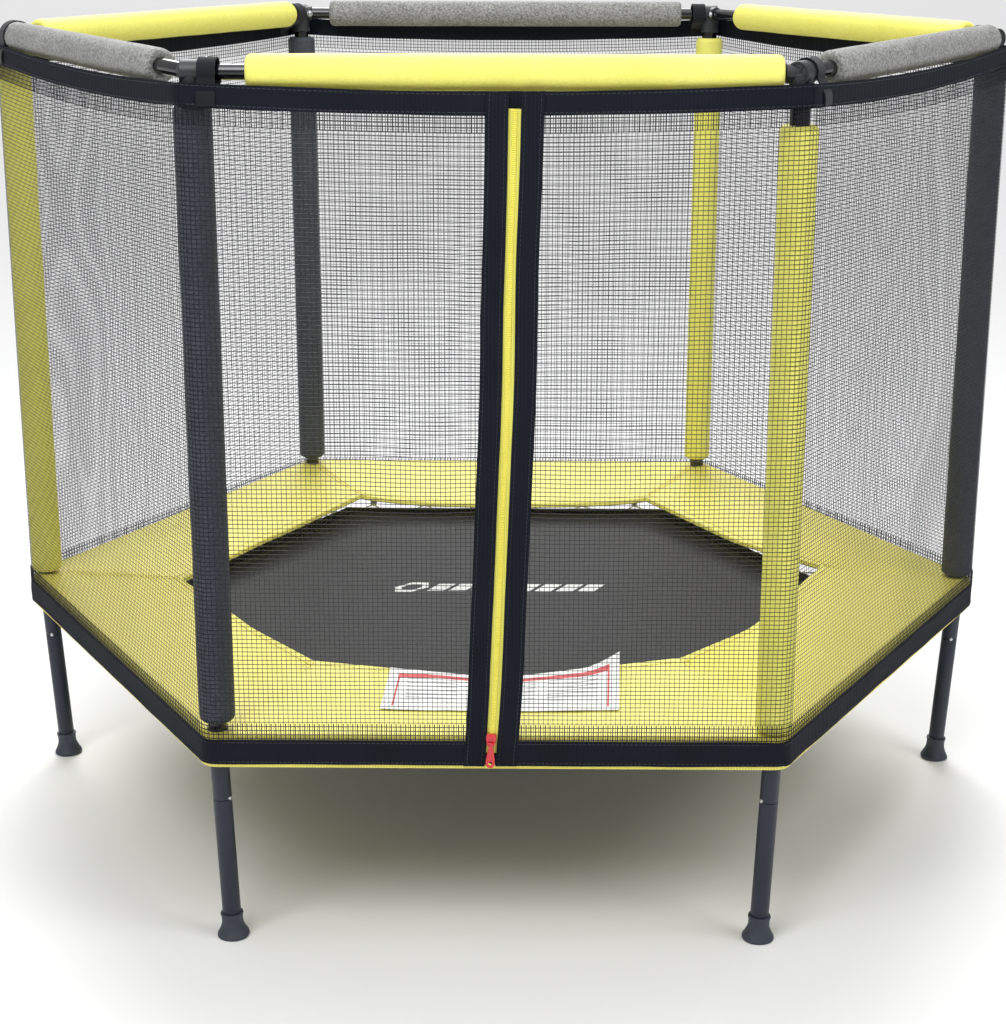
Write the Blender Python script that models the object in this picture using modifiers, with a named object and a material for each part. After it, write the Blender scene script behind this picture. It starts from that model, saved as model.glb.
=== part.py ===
"""A child's hexagonal mini trampoline with a padded pole enclosure and a zipped net.

Run it with: blender --background --python part.py
Units are metres. +Z is up, the origin is on the floor under the middle of the mat,
and the zipped side of the net faces -Y. Corner 0 is at +X, and corners are counted
counter-clockwise seen from above. Side k runs from corner k to corner k + 1.
"""

import math

import bmesh
import bpy
from mathutils import Matrix, Vector

# ---- driving sizes --------------------------------------------------------------
SIDES = 6
GAP = 0.0003  # air left between two pieces that touch

# main frame, poles and top rails
CORNER_RADIUS = 0.700  # from the middle of the mat to the axis of each pole
FRAME_HEIGHT = 0.2625  # axis of the frame tubes above the floor
RAIL_HEIGHT = 1.108  # axis of the top rails above the floor
TUBE_RADIUS = 0.012  # frame, leg and pole tubes
TUBE_WALL = 0.0012
POST_SWELL = 0.0008  # the post at each corner is this much fatter than the tubes
RECEIVER_SWELL = 0.0004  # and so is the short tube that takes the next section's end
RAIL_RADIUS = 0.0095  # top rail tubes are thinner
SPIGOT_LENGTH = 0.030  # how far one tube slides into the next

# legs and feet
FOOT_INSET = 0.0155  # each foot stands this much nearer the middle than its pole
STUB_DROP = 0.0625  # from the frame's axis down to where a leg meets its stub
FOOT_HEIGHT = 0.034
FOOT_FLOOR = 0.006  # rubber under the end of the leg
FOOT_COLLAR_WALL = 0.0028
FOOT_NECK_WALL = 0.0018
FOOT_FLARE = 0.0085  # how far the base stands out from the leg
FOOT_RIM = 0.004  # height of the upright edge of the flared base

# foam sleeves
POLE_FOAM_WALL = 0.0105
POLE_BARE = 0.0354  # pole left bare between its sleeve and the connector
# The sleeves were cut and pushed on by hand. Each entry is how far the lower and the
# upper end of one is from where an unlisted one has them.
POLE_FOAM_ENDS = {
    0: (0.0075, 0.029),
    1: (0.026, 0.026),
    2: (0.026, 0.026),
    3: (0.0075, 0.029),
    4: (0.011, 0.029),
    5: (0.0, 0.0075),
}
RAIL_FOAM_WALL = 0.0115
RAIL_BARE = 0.050  # rail left bare at each end of its sleeve
RAIL_FOAM_ENDS = {  # the same, for the near and the far end along the rail
    0: (0.0, -0.040),
    2: (-0.016, 0.0),
    3: (-0.025, -0.045),
    4: (0.0134, 0.0295),
    5: (0.031, 0.031),
}

# plastic corner connectors at the top of the poles
SLEEVE_WALL = 0.005
SLEEVE_BACK = 0.012  # how far the sleeve reaches behind the pole's axis
SLEEVE_FRONT = 0.015  # and along the rail before its collar
COLLAR_WALL = 0.0033
COLLAR_LENGTH = 0.007
HUB_WALL = 0.0021
HUB_DROP = 0.030  # from the rail's axis down to the hub's mouth
HUB_SOCKET = 0.0185  # how deep the pole goes into the hub
END_DISC_DEPTH = 0.0015  # the shallow dish in the sleeve's back end

# jumping mat and spring cover
SPRING_ROOM = 0.141  # from the mat's corner out to the frame's
MAT_DROP = 0.004  # its underside below the axis of the frame tubes
MAT_THICKNESS = 0.004
MAT_TRAVEL = 0.150  # how far a jumper sinks it
PAD_OVERLAP = 0.064  # how far the cover reaches in over the mat's corners
PAD_THICKNESS = 0.0215
PAD_SKIRT_THICKNESS = 0.005
PAD_SKIRT_DROP = 0.010  # below the axis of the frame tubes

# net, outside the padded poles
NET_THICKNESS = 0.0016
NET_BELOW_FRAME = 0.0045  # from the axis of the frame tubes down to its bottom edge
NET_BELOW_RAIL = 0.0095  # from the axis of the top rails down to its top edge

# zip in the front of the net; it leans a little from upright
ZIP_FOOT_X = -0.006
ZIP_HEAD_X = 0.022
ZIP_ABOVE_EDGE = 0.008  # the zip starts this far above the net's bottom edge
ZIP_BELOW_EDGE = 0.029  # and stops this far below its top edge
ZIP_WIDTH = 0.0156
ZIP_COIL_WIDTH = 0.006
ZIP_COIL_RISE = 0.0014  # the coil stands this far in front of its tape
SLIDER_WIDTH = 0.013
SLIDER_LENGTH = 0.017
SLIDER_DEPTH = 0.0052
SLIDER_REST = 0.019  # from the zip's bottom end up to the slider's lower edge
LUG_BASE = 0.0014  # from the slider's lower edge up to its lugs
LUG_WIDTH = 0.0016
LUG_REACH = 0.0036  # how far the lugs stand out, and half their height
PULL_LENGTH = 0.032
PULL_WIDTH = 0.0098
PULL_THICKNESS = 0.0016
PULL_EYE_RADIUS = 0.0015

ROUND = 12  # flat faces round a tube
SMALL_ROUND = 8
SKEW = math.pi / ROUND / 3  # crossing rods are turned by this so no facet edges line up

# ---- sizes worked out from those ------------------------------------------------
TURN = 2 * math.pi / SIDES
SIDE_LENGTH = 2 * CORNER_RADIUS * math.sin(TURN / 2)
APOTHEM = CORNER_RADIUS * math.cos(TURN / 2)
NEXT_WAY = math.pi / 2 + TURN / 2  # direction of side 0, seen from corner 0
BACK_WAY = -NEXT_WAY  # direction of the side before it

POST_RADIUS = TUBE_RADIUS + POST_SWELL
RECEIVER_RADIUS = TUBE_RADIUS + RECEIVER_SWELL
FOOT_COLLAR_RADIUS = TUBE_RADIUS + FOOT_COLLAR_WALL
FOOT_NECK_RADIUS = TUBE_RADIUS + FOOT_NECK_WALL
FOOT_BASE_RADIUS = TUBE_RADIUS + FOOT_FLARE
POLE_FOAM_RADIUS = TUBE_RADIUS + POLE_FOAM_WALL
RAIL_FOAM_RADIUS = RAIL_RADIUS + RAIL_FOAM_WALL
SLEEVE_RADIUS = RAIL_RADIUS + SLEEVE_WALL
COLLAR_RADIUS = RAIL_RADIUS + COLLAR_WALL
HUB_RADIUS = TUBE_RADIUS + HUB_WALL

BORE_RADIUS = TUBE_RADIUS - TUBE_WALL
SPIGOT_RADIUS = BORE_RADIUS - GAP
SPIGOT_BORE = SPIGOT_RADIUS - TUBE_WALL
RAIL_BORE = RAIL_RADIUS - TUBE_WALL
RAIL_SPIGOT_RADIUS = RAIL_BORE - GAP

LEG_LEAN = math.atan2(FOOT_INSET, FRAME_HEIGHT)
LEG_AXIS_LENGTH = FRAME_HEIGHT / math.cos(LEG_LEAN)
STUB_LENGTH = STUB_DROP / math.cos(LEG_LEAN)

MAT_RADIUS = CORNER_RADIUS - SPRING_ROOM  # to a corner of its hexagon
MAT_HEIGHT = FRAME_HEIGHT - MAT_DROP
PAD_INNER_RADIUS = MAT_RADIUS - PAD_OVERLAP
PAD_BOTTOM = FRAME_HEIGHT + RECEIVER_RADIUS + GAP
PAD_TOP = PAD_BOTTOM + PAD_THICKNESS
POST_TOP = PAD_TOP + GAP
POLE_BASE = POST_TOP + GAP
POLE_FOAM_BASE = POLE_BASE + GAP

HUB_MOUTH = RAIL_HEIGHT - HUB_DROP
POLE_TOP = HUB_MOUTH + HUB_SOCKET - GAP
POLE_FOAM_LENGTH = HUB_MOUTH - POLE_BARE - POLE_FOAM_BASE
RAIL_FOAM_LENGTH = SIDE_LENGTH - 2 * RAIL_BARE
RAIL_START = SLEEVE_FRONT + COLLAR_LENGTH - 0.5 * SPIGOT_LENGTH
RAIL_END = SIDE_LENGTH - GAP - (
    SLEEVE_BACK * math.cos(TURN) + SLEEVE_RADIUS * math.sin(TURN)
)

NET_BOTTOM = FRAME_HEIGHT - NET_BELOW_FRAME
NET_TOP = RAIL_HEIGHT - NET_BELOW_RAIL
NET_INNER_APOTHEM = APOTHEM + max(POLE_FOAM_RADIUS, RAIL_FOAM_RADIUS) + GAP
NET_OUTER_APOTHEM = NET_INNER_APOTHEM + NET_THICKNESS
NET_HALF_WIDTH = NET_INNER_APOTHEM * math.tan(TURN / 2) - GAP
PAD_OUTER_RADIUS = (NET_INNER_APOTHEM - GAP) / math.cos(TURN / 2)
PAD_SKIRT_RADIUS = PAD_OUTER_RADIUS - PAD_SKIRT_THICKNESS / math.cos(TURN / 2)

ZIP_BOTTOM = NET_BOTTOM + ZIP_ABOVE_EDGE
ZIP_TOP = NET_TOP - ZIP_BELOW_EDGE
ZIP_LEAN = math.atan2(ZIP_HEAD_X - ZIP_FOOT_X, ZIP_TOP - ZIP_BOTTOM)
ZIP_LENGTH = (ZIP_TOP - ZIP_BOTTOM) / math.cos(ZIP_LEAN)
ZIP_FRONT = -NET_OUTER_APOTHEM - ZIP_COIL_RISE  # y of the coil's face
SLIDER_TRAVEL = ZIP_LENGTH - SLIDER_REST - 2 * SLIDER_LENGTH
SLIDER_BACK = ZIP_COIL_RISE - GAP  # in the zip's own frame, just in front of the tape
SLIDER_FRONT = SLIDER_BACK - SLIDER_DEPTH
PULL_PIVOT = Vector((0, SLIDER_FRONT - LUG_REACH / 2 - GAP, LUG_BASE + LUG_REACH))

# Tubes of nearly one size cross at each corner, which the EXACT solver leaves open.
CROSSING_SOLVER = "MANIFOLD"

YELLOW_FOAM = (0.93, 0.90, 0.22)
DARK_FOAM = (0.045, 0.05, 0.052)
GREY_FOAM = (0.29, 0.29, 0.28)


# ---- scene, materials and small helpers -----------------------------------------
def clear_scene():
    for obj in list(bpy.data.objects):
        bpy.data.objects.remove(obj)


def new_collection(name):
    collection = bpy.data.collections.new(name)
    bpy.context.scene.collection.children.link(collection)
    return collection


def material(name, colour, roughness, metallic=0.0):
    made = bpy.data.materials.new(name)
    made.use_nodes = True
    shader = made.node_tree.nodes["Principled BSDF"]
    shader.inputs["Base Color"].default_value = (*colour, 1.0)
    shader.inputs["Roughness"].default_value = roughness
    shader.inputs["Metallic"].default_value = metallic
    return made


def baked(obj):
    """The evaluated mesh of an object, with its doubles merged; the object is removed."""
    bpy.context.view_layer.update()
    graph = bpy.context.evaluated_depsgraph_get()
    mesh = bpy.data.meshes.new_from_object(obj.evaluated_get(graph))
    mesh.transform(obj.matrix_world)
    bpy.data.objects.remove(obj)
    work = bmesh.new()
    work.from_mesh(mesh)
    bmesh.ops.remove_doubles(work, verts=work.verts, dist=1e-6)
    work.to_mesh(mesh)
    work.free()
    return mesh


def outline_mesh(points, closed):
    """Points joined by edges, ready for a Screw modifier."""
    mesh = bpy.data.meshes.new("outline")
    count = len(points)
    last = count if closed else count - 1
    edges = [(i, (i + 1) % count) for i in range(last)]
    mesh.from_pydata([(radius, 0.0, height) for radius, height in points], edges, [])
    return mesh


def turned(points, closed, steps=ROUND):
    """A profile of (radius, height) points, spun about Z. Its outer side runs downwards."""
    obj = bpy.data.objects.new("turned", outline_mesh(points, closed))
    bpy.context.scene.collection.objects.link(obj)
    screw = obj.modifiers.new("Screw", "SCREW")
    screw.axis = "Z"
    screw.angle = 2 * math.pi
    screw.steps = steps
    screw.render_steps = steps
    screw.use_merge_vertices = True
    screw.merge_threshold = 0.00001
    return baked(obj)


def rod(radius, low, high, steps=ROUND):
    """A solid round bar along Z."""
    return turned([(0, high), (radius, high), (radius, low), (0, low)], False, steps)


def pipe(outer, inner, low, high, steps=ROUND):
    """A plain tube along Z, open at both ends."""
    return turned([(outer, high), (outer, low), (inner, low), (inner, high)], True, steps)


def block(low, high):
    """A rectangular solid between two corners."""
    work = bmesh.new()
    bmesh.ops.create_cube(work, size=1.0)
    size = Vector(high) - Vector(low)
    middle = (Vector(high) + Vector(low)) / 2
    bmesh.ops.scale(work, vec=size, verts=work.verts)
    bmesh.ops.translate(work, vec=middle, verts=work.verts)
    mesh = bpy.data.meshes.new("block")
    work.to_mesh(mesh)
    work.free()
    return mesh


def moved(mesh, matrix):
    mesh.transform(matrix)
    return mesh


def at(x, y, z):
    return Matrix.Translation((x, y, z))


def about_z(angle):
    return Matrix.Rotation(angle, 4, "Z")


def along(angle):
    """Turns a solid made along Z to lie level, pointing in that direction."""
    return about_z(angle) @ Matrix.Rotation(math.pi / 2, 4, "Y")


def cut_and_joined(base, joins, cuts, solver="EXACT"):
    """One mesh: the base with the joins added to it and then the cuts taken away."""
    obj = bpy.data.objects.new("base", base)
    bpy.context.scene.collection.objects.link(obj)
    for operation, meshes in (("UNION", joins), ("DIFFERENCE", cuts)):
        for mesh in meshes:
            tool = bpy.data.objects.new(f"{operation.lower()}_tool", mesh)
            tool.hide_render = True
            tool.display_type = "WIRE"
            CUTTERS.objects.link(tool)
            boolean = obj.modifiers.new(operation, "BOOLEAN")
            boolean.operation = operation
            boolean.solver = solver
            boolean.object = tool
    return baked(obj)


def add_piece(name, mesh, finish, matrix=None, parent=None):
    """A named solid in the object's own collection, with its own material."""
    if matrix:
        mesh = mesh.copy()
    mesh.name = name
    mesh.materials.clear()
    mesh.materials.append(material(name, *finish))
    mesh.shade_smooth()
    mesh.set_sharp_from_angle(angle=math.radians(30))
    obj = bpy.data.objects.new(name, mesh)
    obj.parent = parent
    if matrix:
        obj.matrix_basis = matrix
    PARTS.objects.link(obj)
    return obj


def add_ring(name, mesh, finishes):
    """Six copies of a corner 0 or side 0 piece, one for each corner or side."""
    for index in range(SIDES):
        finish = finishes[index % len(finishes)]
        add_piece(f"{name}_{index + 1}", mesh, finish, about_z(index * TURN))


# ---- frame, legs and feet -------------------------------------------------------
def lean_frame():
    """The leg's own frame: its axis along Z and the frame corner at zero height."""
    return at(CORNER_RADIUS, 0, FRAME_HEIGHT) @ Matrix.Rotation(LEG_LEAN, 4, "Y")


def frame_section():
    """A frame tube with its corner: a post for the pole, a stub for the leg, a receiver."""
    receiver_length = SPIGOT_LENGTH + 2 * TUBE_RADIUS
    bore_depth = SPIGOT_LENGTH + 0.003
    shoulder = SIDE_LENGTH - receiver_length - GAP
    corner = at(CORNER_RADIUS, 0, FRAME_HEIGHT)
    upright = corner @ about_z(-SKEW)
    lean = lean_frame() @ about_z(SKEW)

    tube = turned(
        [
            (0, shoulder + SPIGOT_LENGTH),
            (SPIGOT_RADIUS, shoulder + SPIGOT_LENGTH),
            (SPIGOT_RADIUS, shoulder),
            (TUBE_RADIUS, shoulder),
            (TUBE_RADIUS, 0),
            (0, 0),
        ],
        False,
    )
    tube_bore = turned(
        [
            (0, SIDE_LENGTH),
            (SPIGOT_BORE, SIDE_LENGTH),
            (SPIGOT_BORE, shoulder - TUBE_WALL),
            (BORE_RADIUS, shoulder - 2 * TUBE_WALL),
            (BORE_RADIUS, 2 * TUBE_RADIUS),
            (0, 2 * TUBE_RADIUS),
        ],
        False,
    )
    overlap = 0.5 * TUBE_RADIUS
    post = rod(POST_RADIUS, -overlap, POST_TOP - FRAME_HEIGHT)
    stub = rod(TUBE_RADIUS, -STUB_LENGTH, overlap / 2)
    receiver = rod(RECEIVER_RADIUS, 0, receiver_length)
    post_bore = rod(BORE_RADIUS, POST_TOP - FRAME_HEIGHT - bore_depth, FRAME_HEIGHT)
    stub_bore = rod(BORE_RADIUS, -FRAME_HEIGHT, bore_depth - STUB_LENGTH)
    receiver_bore = rod(BORE_RADIUS, receiver_length - bore_depth, SIDE_LENGTH)
    return cut_and_joined(
        moved(tube, corner @ along(NEXT_WAY)),
        [
            moved(post, upright),
            moved(stub, lean),
            moved(receiver, corner @ along(BACK_WAY)),
        ],
        [
            moved(tube_bore, corner @ along(NEXT_WAY)),
            moved(post_bore, upright),
            moved(stub_bore, lean),
            moved(receiver_bore, corner @ along(BACK_WAY)),
        ],
        CROSSING_SOLVER,
    )


def swaged_tube(low, high, shoulder):
    """A tube whose end past the shoulder is drawn down to slide into the next tube."""
    ends = sorted((low, high), key=lambda height: abs(height - shoulder))
    profile = [
        (TUBE_RADIUS, shoulder),
        (TUBE_RADIUS, ends[1]),
        (BORE_RADIUS, ends[1]),
        (BORE_RADIUS, shoulder + math.copysign(TUBE_WALL, ends[1] - shoulder)),
        (SPIGOT_BORE, shoulder),
        (SPIGOT_BORE, ends[0]),
        (SPIGOT_RADIUS, ends[0]),
        (SPIGOT_RADIUS, shoulder),
    ]
    if ends[1] > shoulder:
        profile.reverse()
    return turned(profile, True)


def leg():
    shoulder = -STUB_LENGTH - GAP
    tube = swaged_tube(
        -LEG_AXIS_LENGTH + FOOT_FLOOR + GAP, shoulder + SPIGOT_LENGTH, shoulder
    )
    return moved(tube, lean_frame())


def foot():
    """A rubber boot: a collar round the leg, a neck and a flared base, flat on the floor."""
    floor = -LEG_AXIS_LENGTH
    top = floor + FOOT_HEIGHT
    below = floor - 0.003  # trimmed level with the floor afterwards
    bore = TUBE_RADIUS + GAP
    flare_low = floor + FOOT_RIM
    flare_high = floor + 0.5 * FOOT_HEIGHT
    flare = []
    for step in range(4):
        turn = step / 3 * math.pi / 2
        radius = FOOT_NECK_RADIUS + (FOOT_BASE_RADIUS - FOOT_NECK_RADIUS) * math.sin(turn)
        height = flare_low + (flare_high - flare_low) * math.cos(turn)
        flare.append((radius, height))
    profile = [
        (0, floor + FOOT_FLOOR),
        (bore, floor + FOOT_FLOOR),
        (bore, top),
        (FOOT_COLLAR_RADIUS, top),
        (FOOT_COLLAR_RADIUS, top - 0.004),
        (FOOT_NECK_RADIUS, top - 0.006),
        *flare,
        (FOOT_BASE_RADIUS, below),
        (0, below),
    ]
    boot = moved(turned(profile, False), lean_frame())
    reach = 2 * FOOT_BASE_RADIUS
    middle = CORNER_RADIUS - FOOT_INSET
    floor_cut = block((middle - reach, -reach, -reach), (middle + reach, reach, 0))
    return cut_and_joined(boot, [], [floor_cut])


# ---- poles, rails, their foam and the corner connectors -------------------------
def pole():
    tube = swaged_tube(POLE_BASE - SPIGOT_LENGTH, POLE_TOP, POLE_BASE)
    return moved(tube, at(CORNER_RADIUS, 0, 0))


def foam_sleeve(outer, inner, length):
    """A foam tube along Z from zero height, with its ends a little rounded."""
    ease = 0.003
    return turned(
        [
            (outer - ease, length),
            (outer, length - ease),
            (outer, ease),
            (outer - ease, 0),
            (inner, 0),
            (inner, length),
        ],
        True,
    )


def add_pole_foam(finishes):
    for index in range(SIDES):
        foot, head = POLE_FOAM_ENDS.get(index, (0.0, 0.0))
        length = POLE_FOAM_LENGTH + head - foot
        sleeve = foam_sleeve(POLE_FOAM_RADIUS, TUBE_RADIUS + GAP, length)
        place = about_z(index * TURN) @ at(CORNER_RADIUS, 0, POLE_FOAM_BASE + foot)
        add_piece(f"pole_foam_{index + 1}", sleeve, finishes[index % 2], place)


def add_rail_foam(finishes):
    for index in range(SIDES):
        near, far = RAIL_FOAM_ENDS.get(index, (0.0, 0.0))
        length = RAIL_FOAM_LENGTH + far - near
        sleeve = foam_sleeve(RAIL_FOAM_RADIUS, RAIL_RADIUS + GAP, length)
        corner = about_z(index * TURN) @ at(CORNER_RADIUS, 0, RAIL_HEIGHT)
        place = corner @ along(NEXT_WAY) @ at(0, 0, RAIL_BARE + near)
        add_piece(f"rail_foam_{index + 1}", sleeve, finishes[index % 2], place)


def top_rail():
    tube = pipe(RAIL_RADIUS, RAIL_BORE, RAIL_START, RAIL_END)
    return moved(tube, at(CORNER_RADIUS, 0, RAIL_HEIGHT) @ along(NEXT_WAY))


def corner_connector():
    """A moulded corner: a hub over the pole, a sleeve round one rail, a spigot in the other."""
    corner = at(CORNER_RADIUS, 0, RAIL_HEIGHT)
    upright = corner @ about_z(SKEW)
    sleeve_end = SLEEVE_FRONT + COLLAR_LENGTH
    sleeve = turned(
        [
            (0, sleeve_end),
            (COLLAR_RADIUS, sleeve_end),
            (COLLAR_RADIUS, SLEEVE_FRONT),
            (SLEEVE_RADIUS, SLEEVE_FRONT),
            (SLEEVE_RADIUS, -SLEEVE_BACK),
            (RAIL_RADIUS, -SLEEVE_BACK),
            (RAIL_RADIUS, END_DISC_DEPTH - SLEEVE_BACK),
            (0, END_DISC_DEPTH - SLEEVE_BACK),
        ],
        False,
    )
    hub = rod(HUB_RADIUS, -HUB_DROP, 0)
    spigot = rod(RAIL_SPIGOT_RADIUS, 0, SIDE_LENGTH - RAIL_END + SPIGOT_LENGTH)
    pole_socket = rod(TUBE_RADIUS + GAP, -2 * HUB_DROP, HUB_SOCKET - HUB_DROP)
    rail_socket = rod(RAIL_RADIUS + GAP, RAIL_START - GAP, SIDE_LENGTH)
    return cut_and_joined(
        moved(sleeve, corner @ along(NEXT_WAY)),
        [moved(hub, upright), moved(spigot, corner @ along(BACK_WAY))],
        [
            moved(pole_socket, upright),
            moved(rail_socket, corner @ along(NEXT_WAY)),
        ],
        CROSSING_SOLVER,
    )


# ---- mat and spring cover -------------------------------------------------------
def jumping_mat():
    """The woven mat: a flat hexagon with a corner at +X. Its origin is its middle."""
    return rod(MAT_RADIUS, 0, MAT_THICKNESS, SIDES)


def spring_pad():
    """A padded hexagonal ring over the springs, with a skirt down its outside."""
    skirt_foot = FRAME_HEIGHT - PAD_SKIRT_DROP
    ease = 0.004
    ring = turned(
        [
            (PAD_INNER_RADIUS, PAD_BOTTOM),
            (PAD_INNER_RADIUS, PAD_TOP),
            (PAD_OUTER_RADIUS - ease, PAD_TOP),
            (PAD_OUTER_RADIUS, PAD_TOP - ease),
            (PAD_OUTER_RADIUS, skirt_foot),
            (PAD_SKIRT_RADIUS, skirt_foot),
            (PAD_SKIRT_RADIUS, PAD_BOTTOM),
        ],
        True,
        SIDES,
    )
    hole = rod(POST_RADIUS + GAP, -PAD_THICKNESS, 2 * PAD_THICKNESS)
    holes = []
    for index in range(SIDES):
        place = about_z(index * TURN) @ at(CORNER_RADIUS, 0, PAD_BOTTOM) @ about_z(-SKEW)
        holes.append(moved(hole.copy(), place))
    return cut_and_joined(ring, [], holes)


# ---- net and zip ----------------------------------------------------------------
def flat_panel(corners):
    """An upright sheet on the front side; its corners are (x, z) points."""
    curve = bpy.data.curves.new("panel", "CURVE")
    curve.dimensions = "2D"
    curve.fill_mode = "BOTH"
    curve.extrude = NET_THICKNESS / 2
    spline = curve.splines.new("POLY")
    spline.points.add(len(corners) - 1)
    for point, (x, z) in zip(spline.points, corners):
        point.co = (x, z, 0, 1)
    spline.use_cyclic_u = True
    obj = bpy.data.objects.new("panel", curve)
    bpy.context.scene.collection.objects.link(obj)
    middle_y = -(NET_INNER_APOTHEM + NET_THICKNESS / 2)
    obj.matrix_world = at(0, middle_y, 0) @ Matrix.Rotation(math.pi / 2, 4, "X")
    return baked(obj)


def zip_x(height):
    """Where the middle of the zip is at a height."""
    return ZIP_FOOT_X + (height - ZIP_BOTTOM) * math.tan(ZIP_LEAN)


def front_panel(side):
    """The front of the net on one side of the zip: side is -1 for left and 1 for right."""
    clear = (ZIP_WIDTH / 2 + GAP) / math.cos(ZIP_LEAN)
    outer = side * NET_HALF_WIDTH
    return flat_panel(
        [
            (outer, NET_BOTTOM),
            (zip_x(NET_BOTTOM) + side * clear, NET_BOTTOM),
            (zip_x(NET_TOP) + side * clear, NET_TOP),
            (outer, NET_TOP),
        ]
    )


def whole_panel():
    return flat_panel(
        [
            (-NET_HALF_WIDTH, NET_BOTTOM),
            (NET_HALF_WIDTH, NET_BOTTOM),
            (NET_HALF_WIDTH, NET_TOP),
            (-NET_HALF_WIDTH, NET_TOP),
        ]
    )


def zip_place():
    """The zip's own frame: Z up along it from its bottom end, Y = 0 at the coil's face."""
    lean = Matrix.Rotation(ZIP_LEAN, 4, "Y")
    return at(ZIP_FOOT_X, ZIP_FRONT, ZIP_BOTTOM) @ lean


def zip_chain():
    """Tape and closed coil, with a raised stop across the top end."""
    tape_back = ZIP_COIL_RISE + NET_THICKNESS
    half = ZIP_COIL_WIDTH / 2
    tape = block((-ZIP_WIDTH / 2, ZIP_COIL_RISE, 0), (ZIP_WIDTH / 2, tape_back, ZIP_LENGTH))
    coil = block((-half, 0, 0), (half, tape_back - NET_THICKNESS / 2, ZIP_LENGTH - GAP))
    return cut_and_joined(tape, [coil], [])


def zip_slider():
    """The slider's front body: a saddle over the coil, with two lugs for the pull."""
    half = SLIDER_WIDTH / 2
    groove = ZIP_COIL_WIDTH / 2 + GAP
    lug_top = LUG_BASE + 2 * LUG_REACH
    body = block((-half, SLIDER_FRONT, 0), (half, SLIDER_BACK, SLIDER_LENGTH))
    lugs = []
    for side in (-1, 1):
        inner, outer = sorted((side * (PULL_WIDTH / 2 - LUG_WIDTH), side * PULL_WIDTH / 2))
        low = (inner, SLIDER_FRONT - LUG_REACH, LUG_BASE)
        lugs.append(block(low, (outer, SLIDER_FRONT + LUG_WIDTH, lug_top)))
    low = (-groove, -GAP, -SLIDER_LENGTH)
    channel = block(low, (groove, SLIDER_LENGTH, 2 * SLIDER_LENGTH))
    return cut_and_joined(body, lugs, [channel])


def zip_pull():
    """A flat tab that hangs from a barrel between the slider's lugs."""
    between = PULL_WIDTH / 2 - LUG_WIDTH - GAP
    level = Matrix.Rotation(math.pi / 2, 4, "Y")
    barrel = moved(rod(PULL_EYE_RADIUS, -between, between, SMALL_ROUND), level)
    front = -PULL_THICKNESS / 2
    back = PULL_THICKNESS / 2
    tab_top = -LUG_REACH - 2 * GAP
    neck = block((-between, front, tab_top - PULL_THICKNESS), (between, back, 0))
    tab = block((-PULL_WIDTH / 2, front, -PULL_LENGTH), (PULL_WIDTH / 2, back, tab_top))
    return cut_and_joined(barrel, [tab, neck], [])


# ---- the whole object -----------------------------------------------------------
def add_frame():
    powder_coat = ((0.020, 0.024, 0.045), 0.45)
    gloss_black = ((0.008, 0.008, 0.010), 0.18)
    add_ring("frame_section", frame_section(), [powder_coat])
    add_ring("leg", leg(), [powder_coat])
    add_ring("foot", foot(), [((0.030, 0.038, 0.050), 0.6)])
    add_ring("pole", pole(), [gloss_black])
    add_ring("top_rail", top_rail(), [gloss_black])
    add_ring("corner_connector", corner_connector(), [((0.018, 0.022, 0.028), 0.5)])


def add_foam():
    add_pole_foam([(DARK_FOAM, 0.85), (YELLOW_FOAM, 0.8)])
    add_rail_foam([(YELLOW_FOAM, 0.8), (GREY_FOAM, 0.85)])


def add_mat_and_pad():
    place = at(0, 0, MAT_HEIGHT)
    mat = add_piece("jumping_mat", jumping_mat(), ((0.07, 0.07, 0.07), 0.7), place)
    mat["travel"] = MAT_TRAVEL
    add_piece("spring_pad", spring_pad(), ((0.90, 0.83, 0.09), 0.45))


def add_net():
    black_net = ((0.012, 0.013, 0.024), 0.75)
    panel = whole_panel()
    sides = ("right_front", "right_back", "back", "left_back", "left_front")
    for index, side in enumerate(sides, start=1):
        add_piece(f"net_{side}", panel, black_net, about_z(index * TURN))
    add_piece("net_front_left", front_panel(-1), black_net)
    add_piece("net_front_right", front_panel(1), black_net)


def add_zip():
    red = ((0.75, 0.03, 0.05), 0.35)
    add_piece("zip_chain", zip_chain(), ((0.90, 0.80, 0.03), 0.5), zip_place())
    runner = bpy.data.objects.new("zip_runner", None)
    runner.matrix_basis = zip_place() @ at(0, 0, SLIDER_REST)
    PARTS.objects.link(runner)
    slider = add_piece("zip_slider", zip_slider(), red, parent=runner)
    slider["travel"] = SLIDER_TRAVEL
    pull = add_piece("zip_pull", zip_pull(), red, parent=slider)
    pull.location = PULL_PIVOT


clear_scene()
PARTS = new_collection("trampoline")
CUTTERS = new_collection("cutters")
add_frame()
add_foam()
add_mat_and_pad()
add_net()
add_zip()
bpy.context.view_layer.update()
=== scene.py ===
"""The looks of a child's hexagonal mini trampoline with a padded, netted enclosure.

Units are metres, +Z is up and the zipped side of the net faces -Y. Corner 0 is at +X and
corners are counted counter-clockwise seen from above; side k runs from corner k to k + 1.
"""

import math

import bmesh
import bpy
from mathutils import Matrix, Vector, noise


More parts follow.
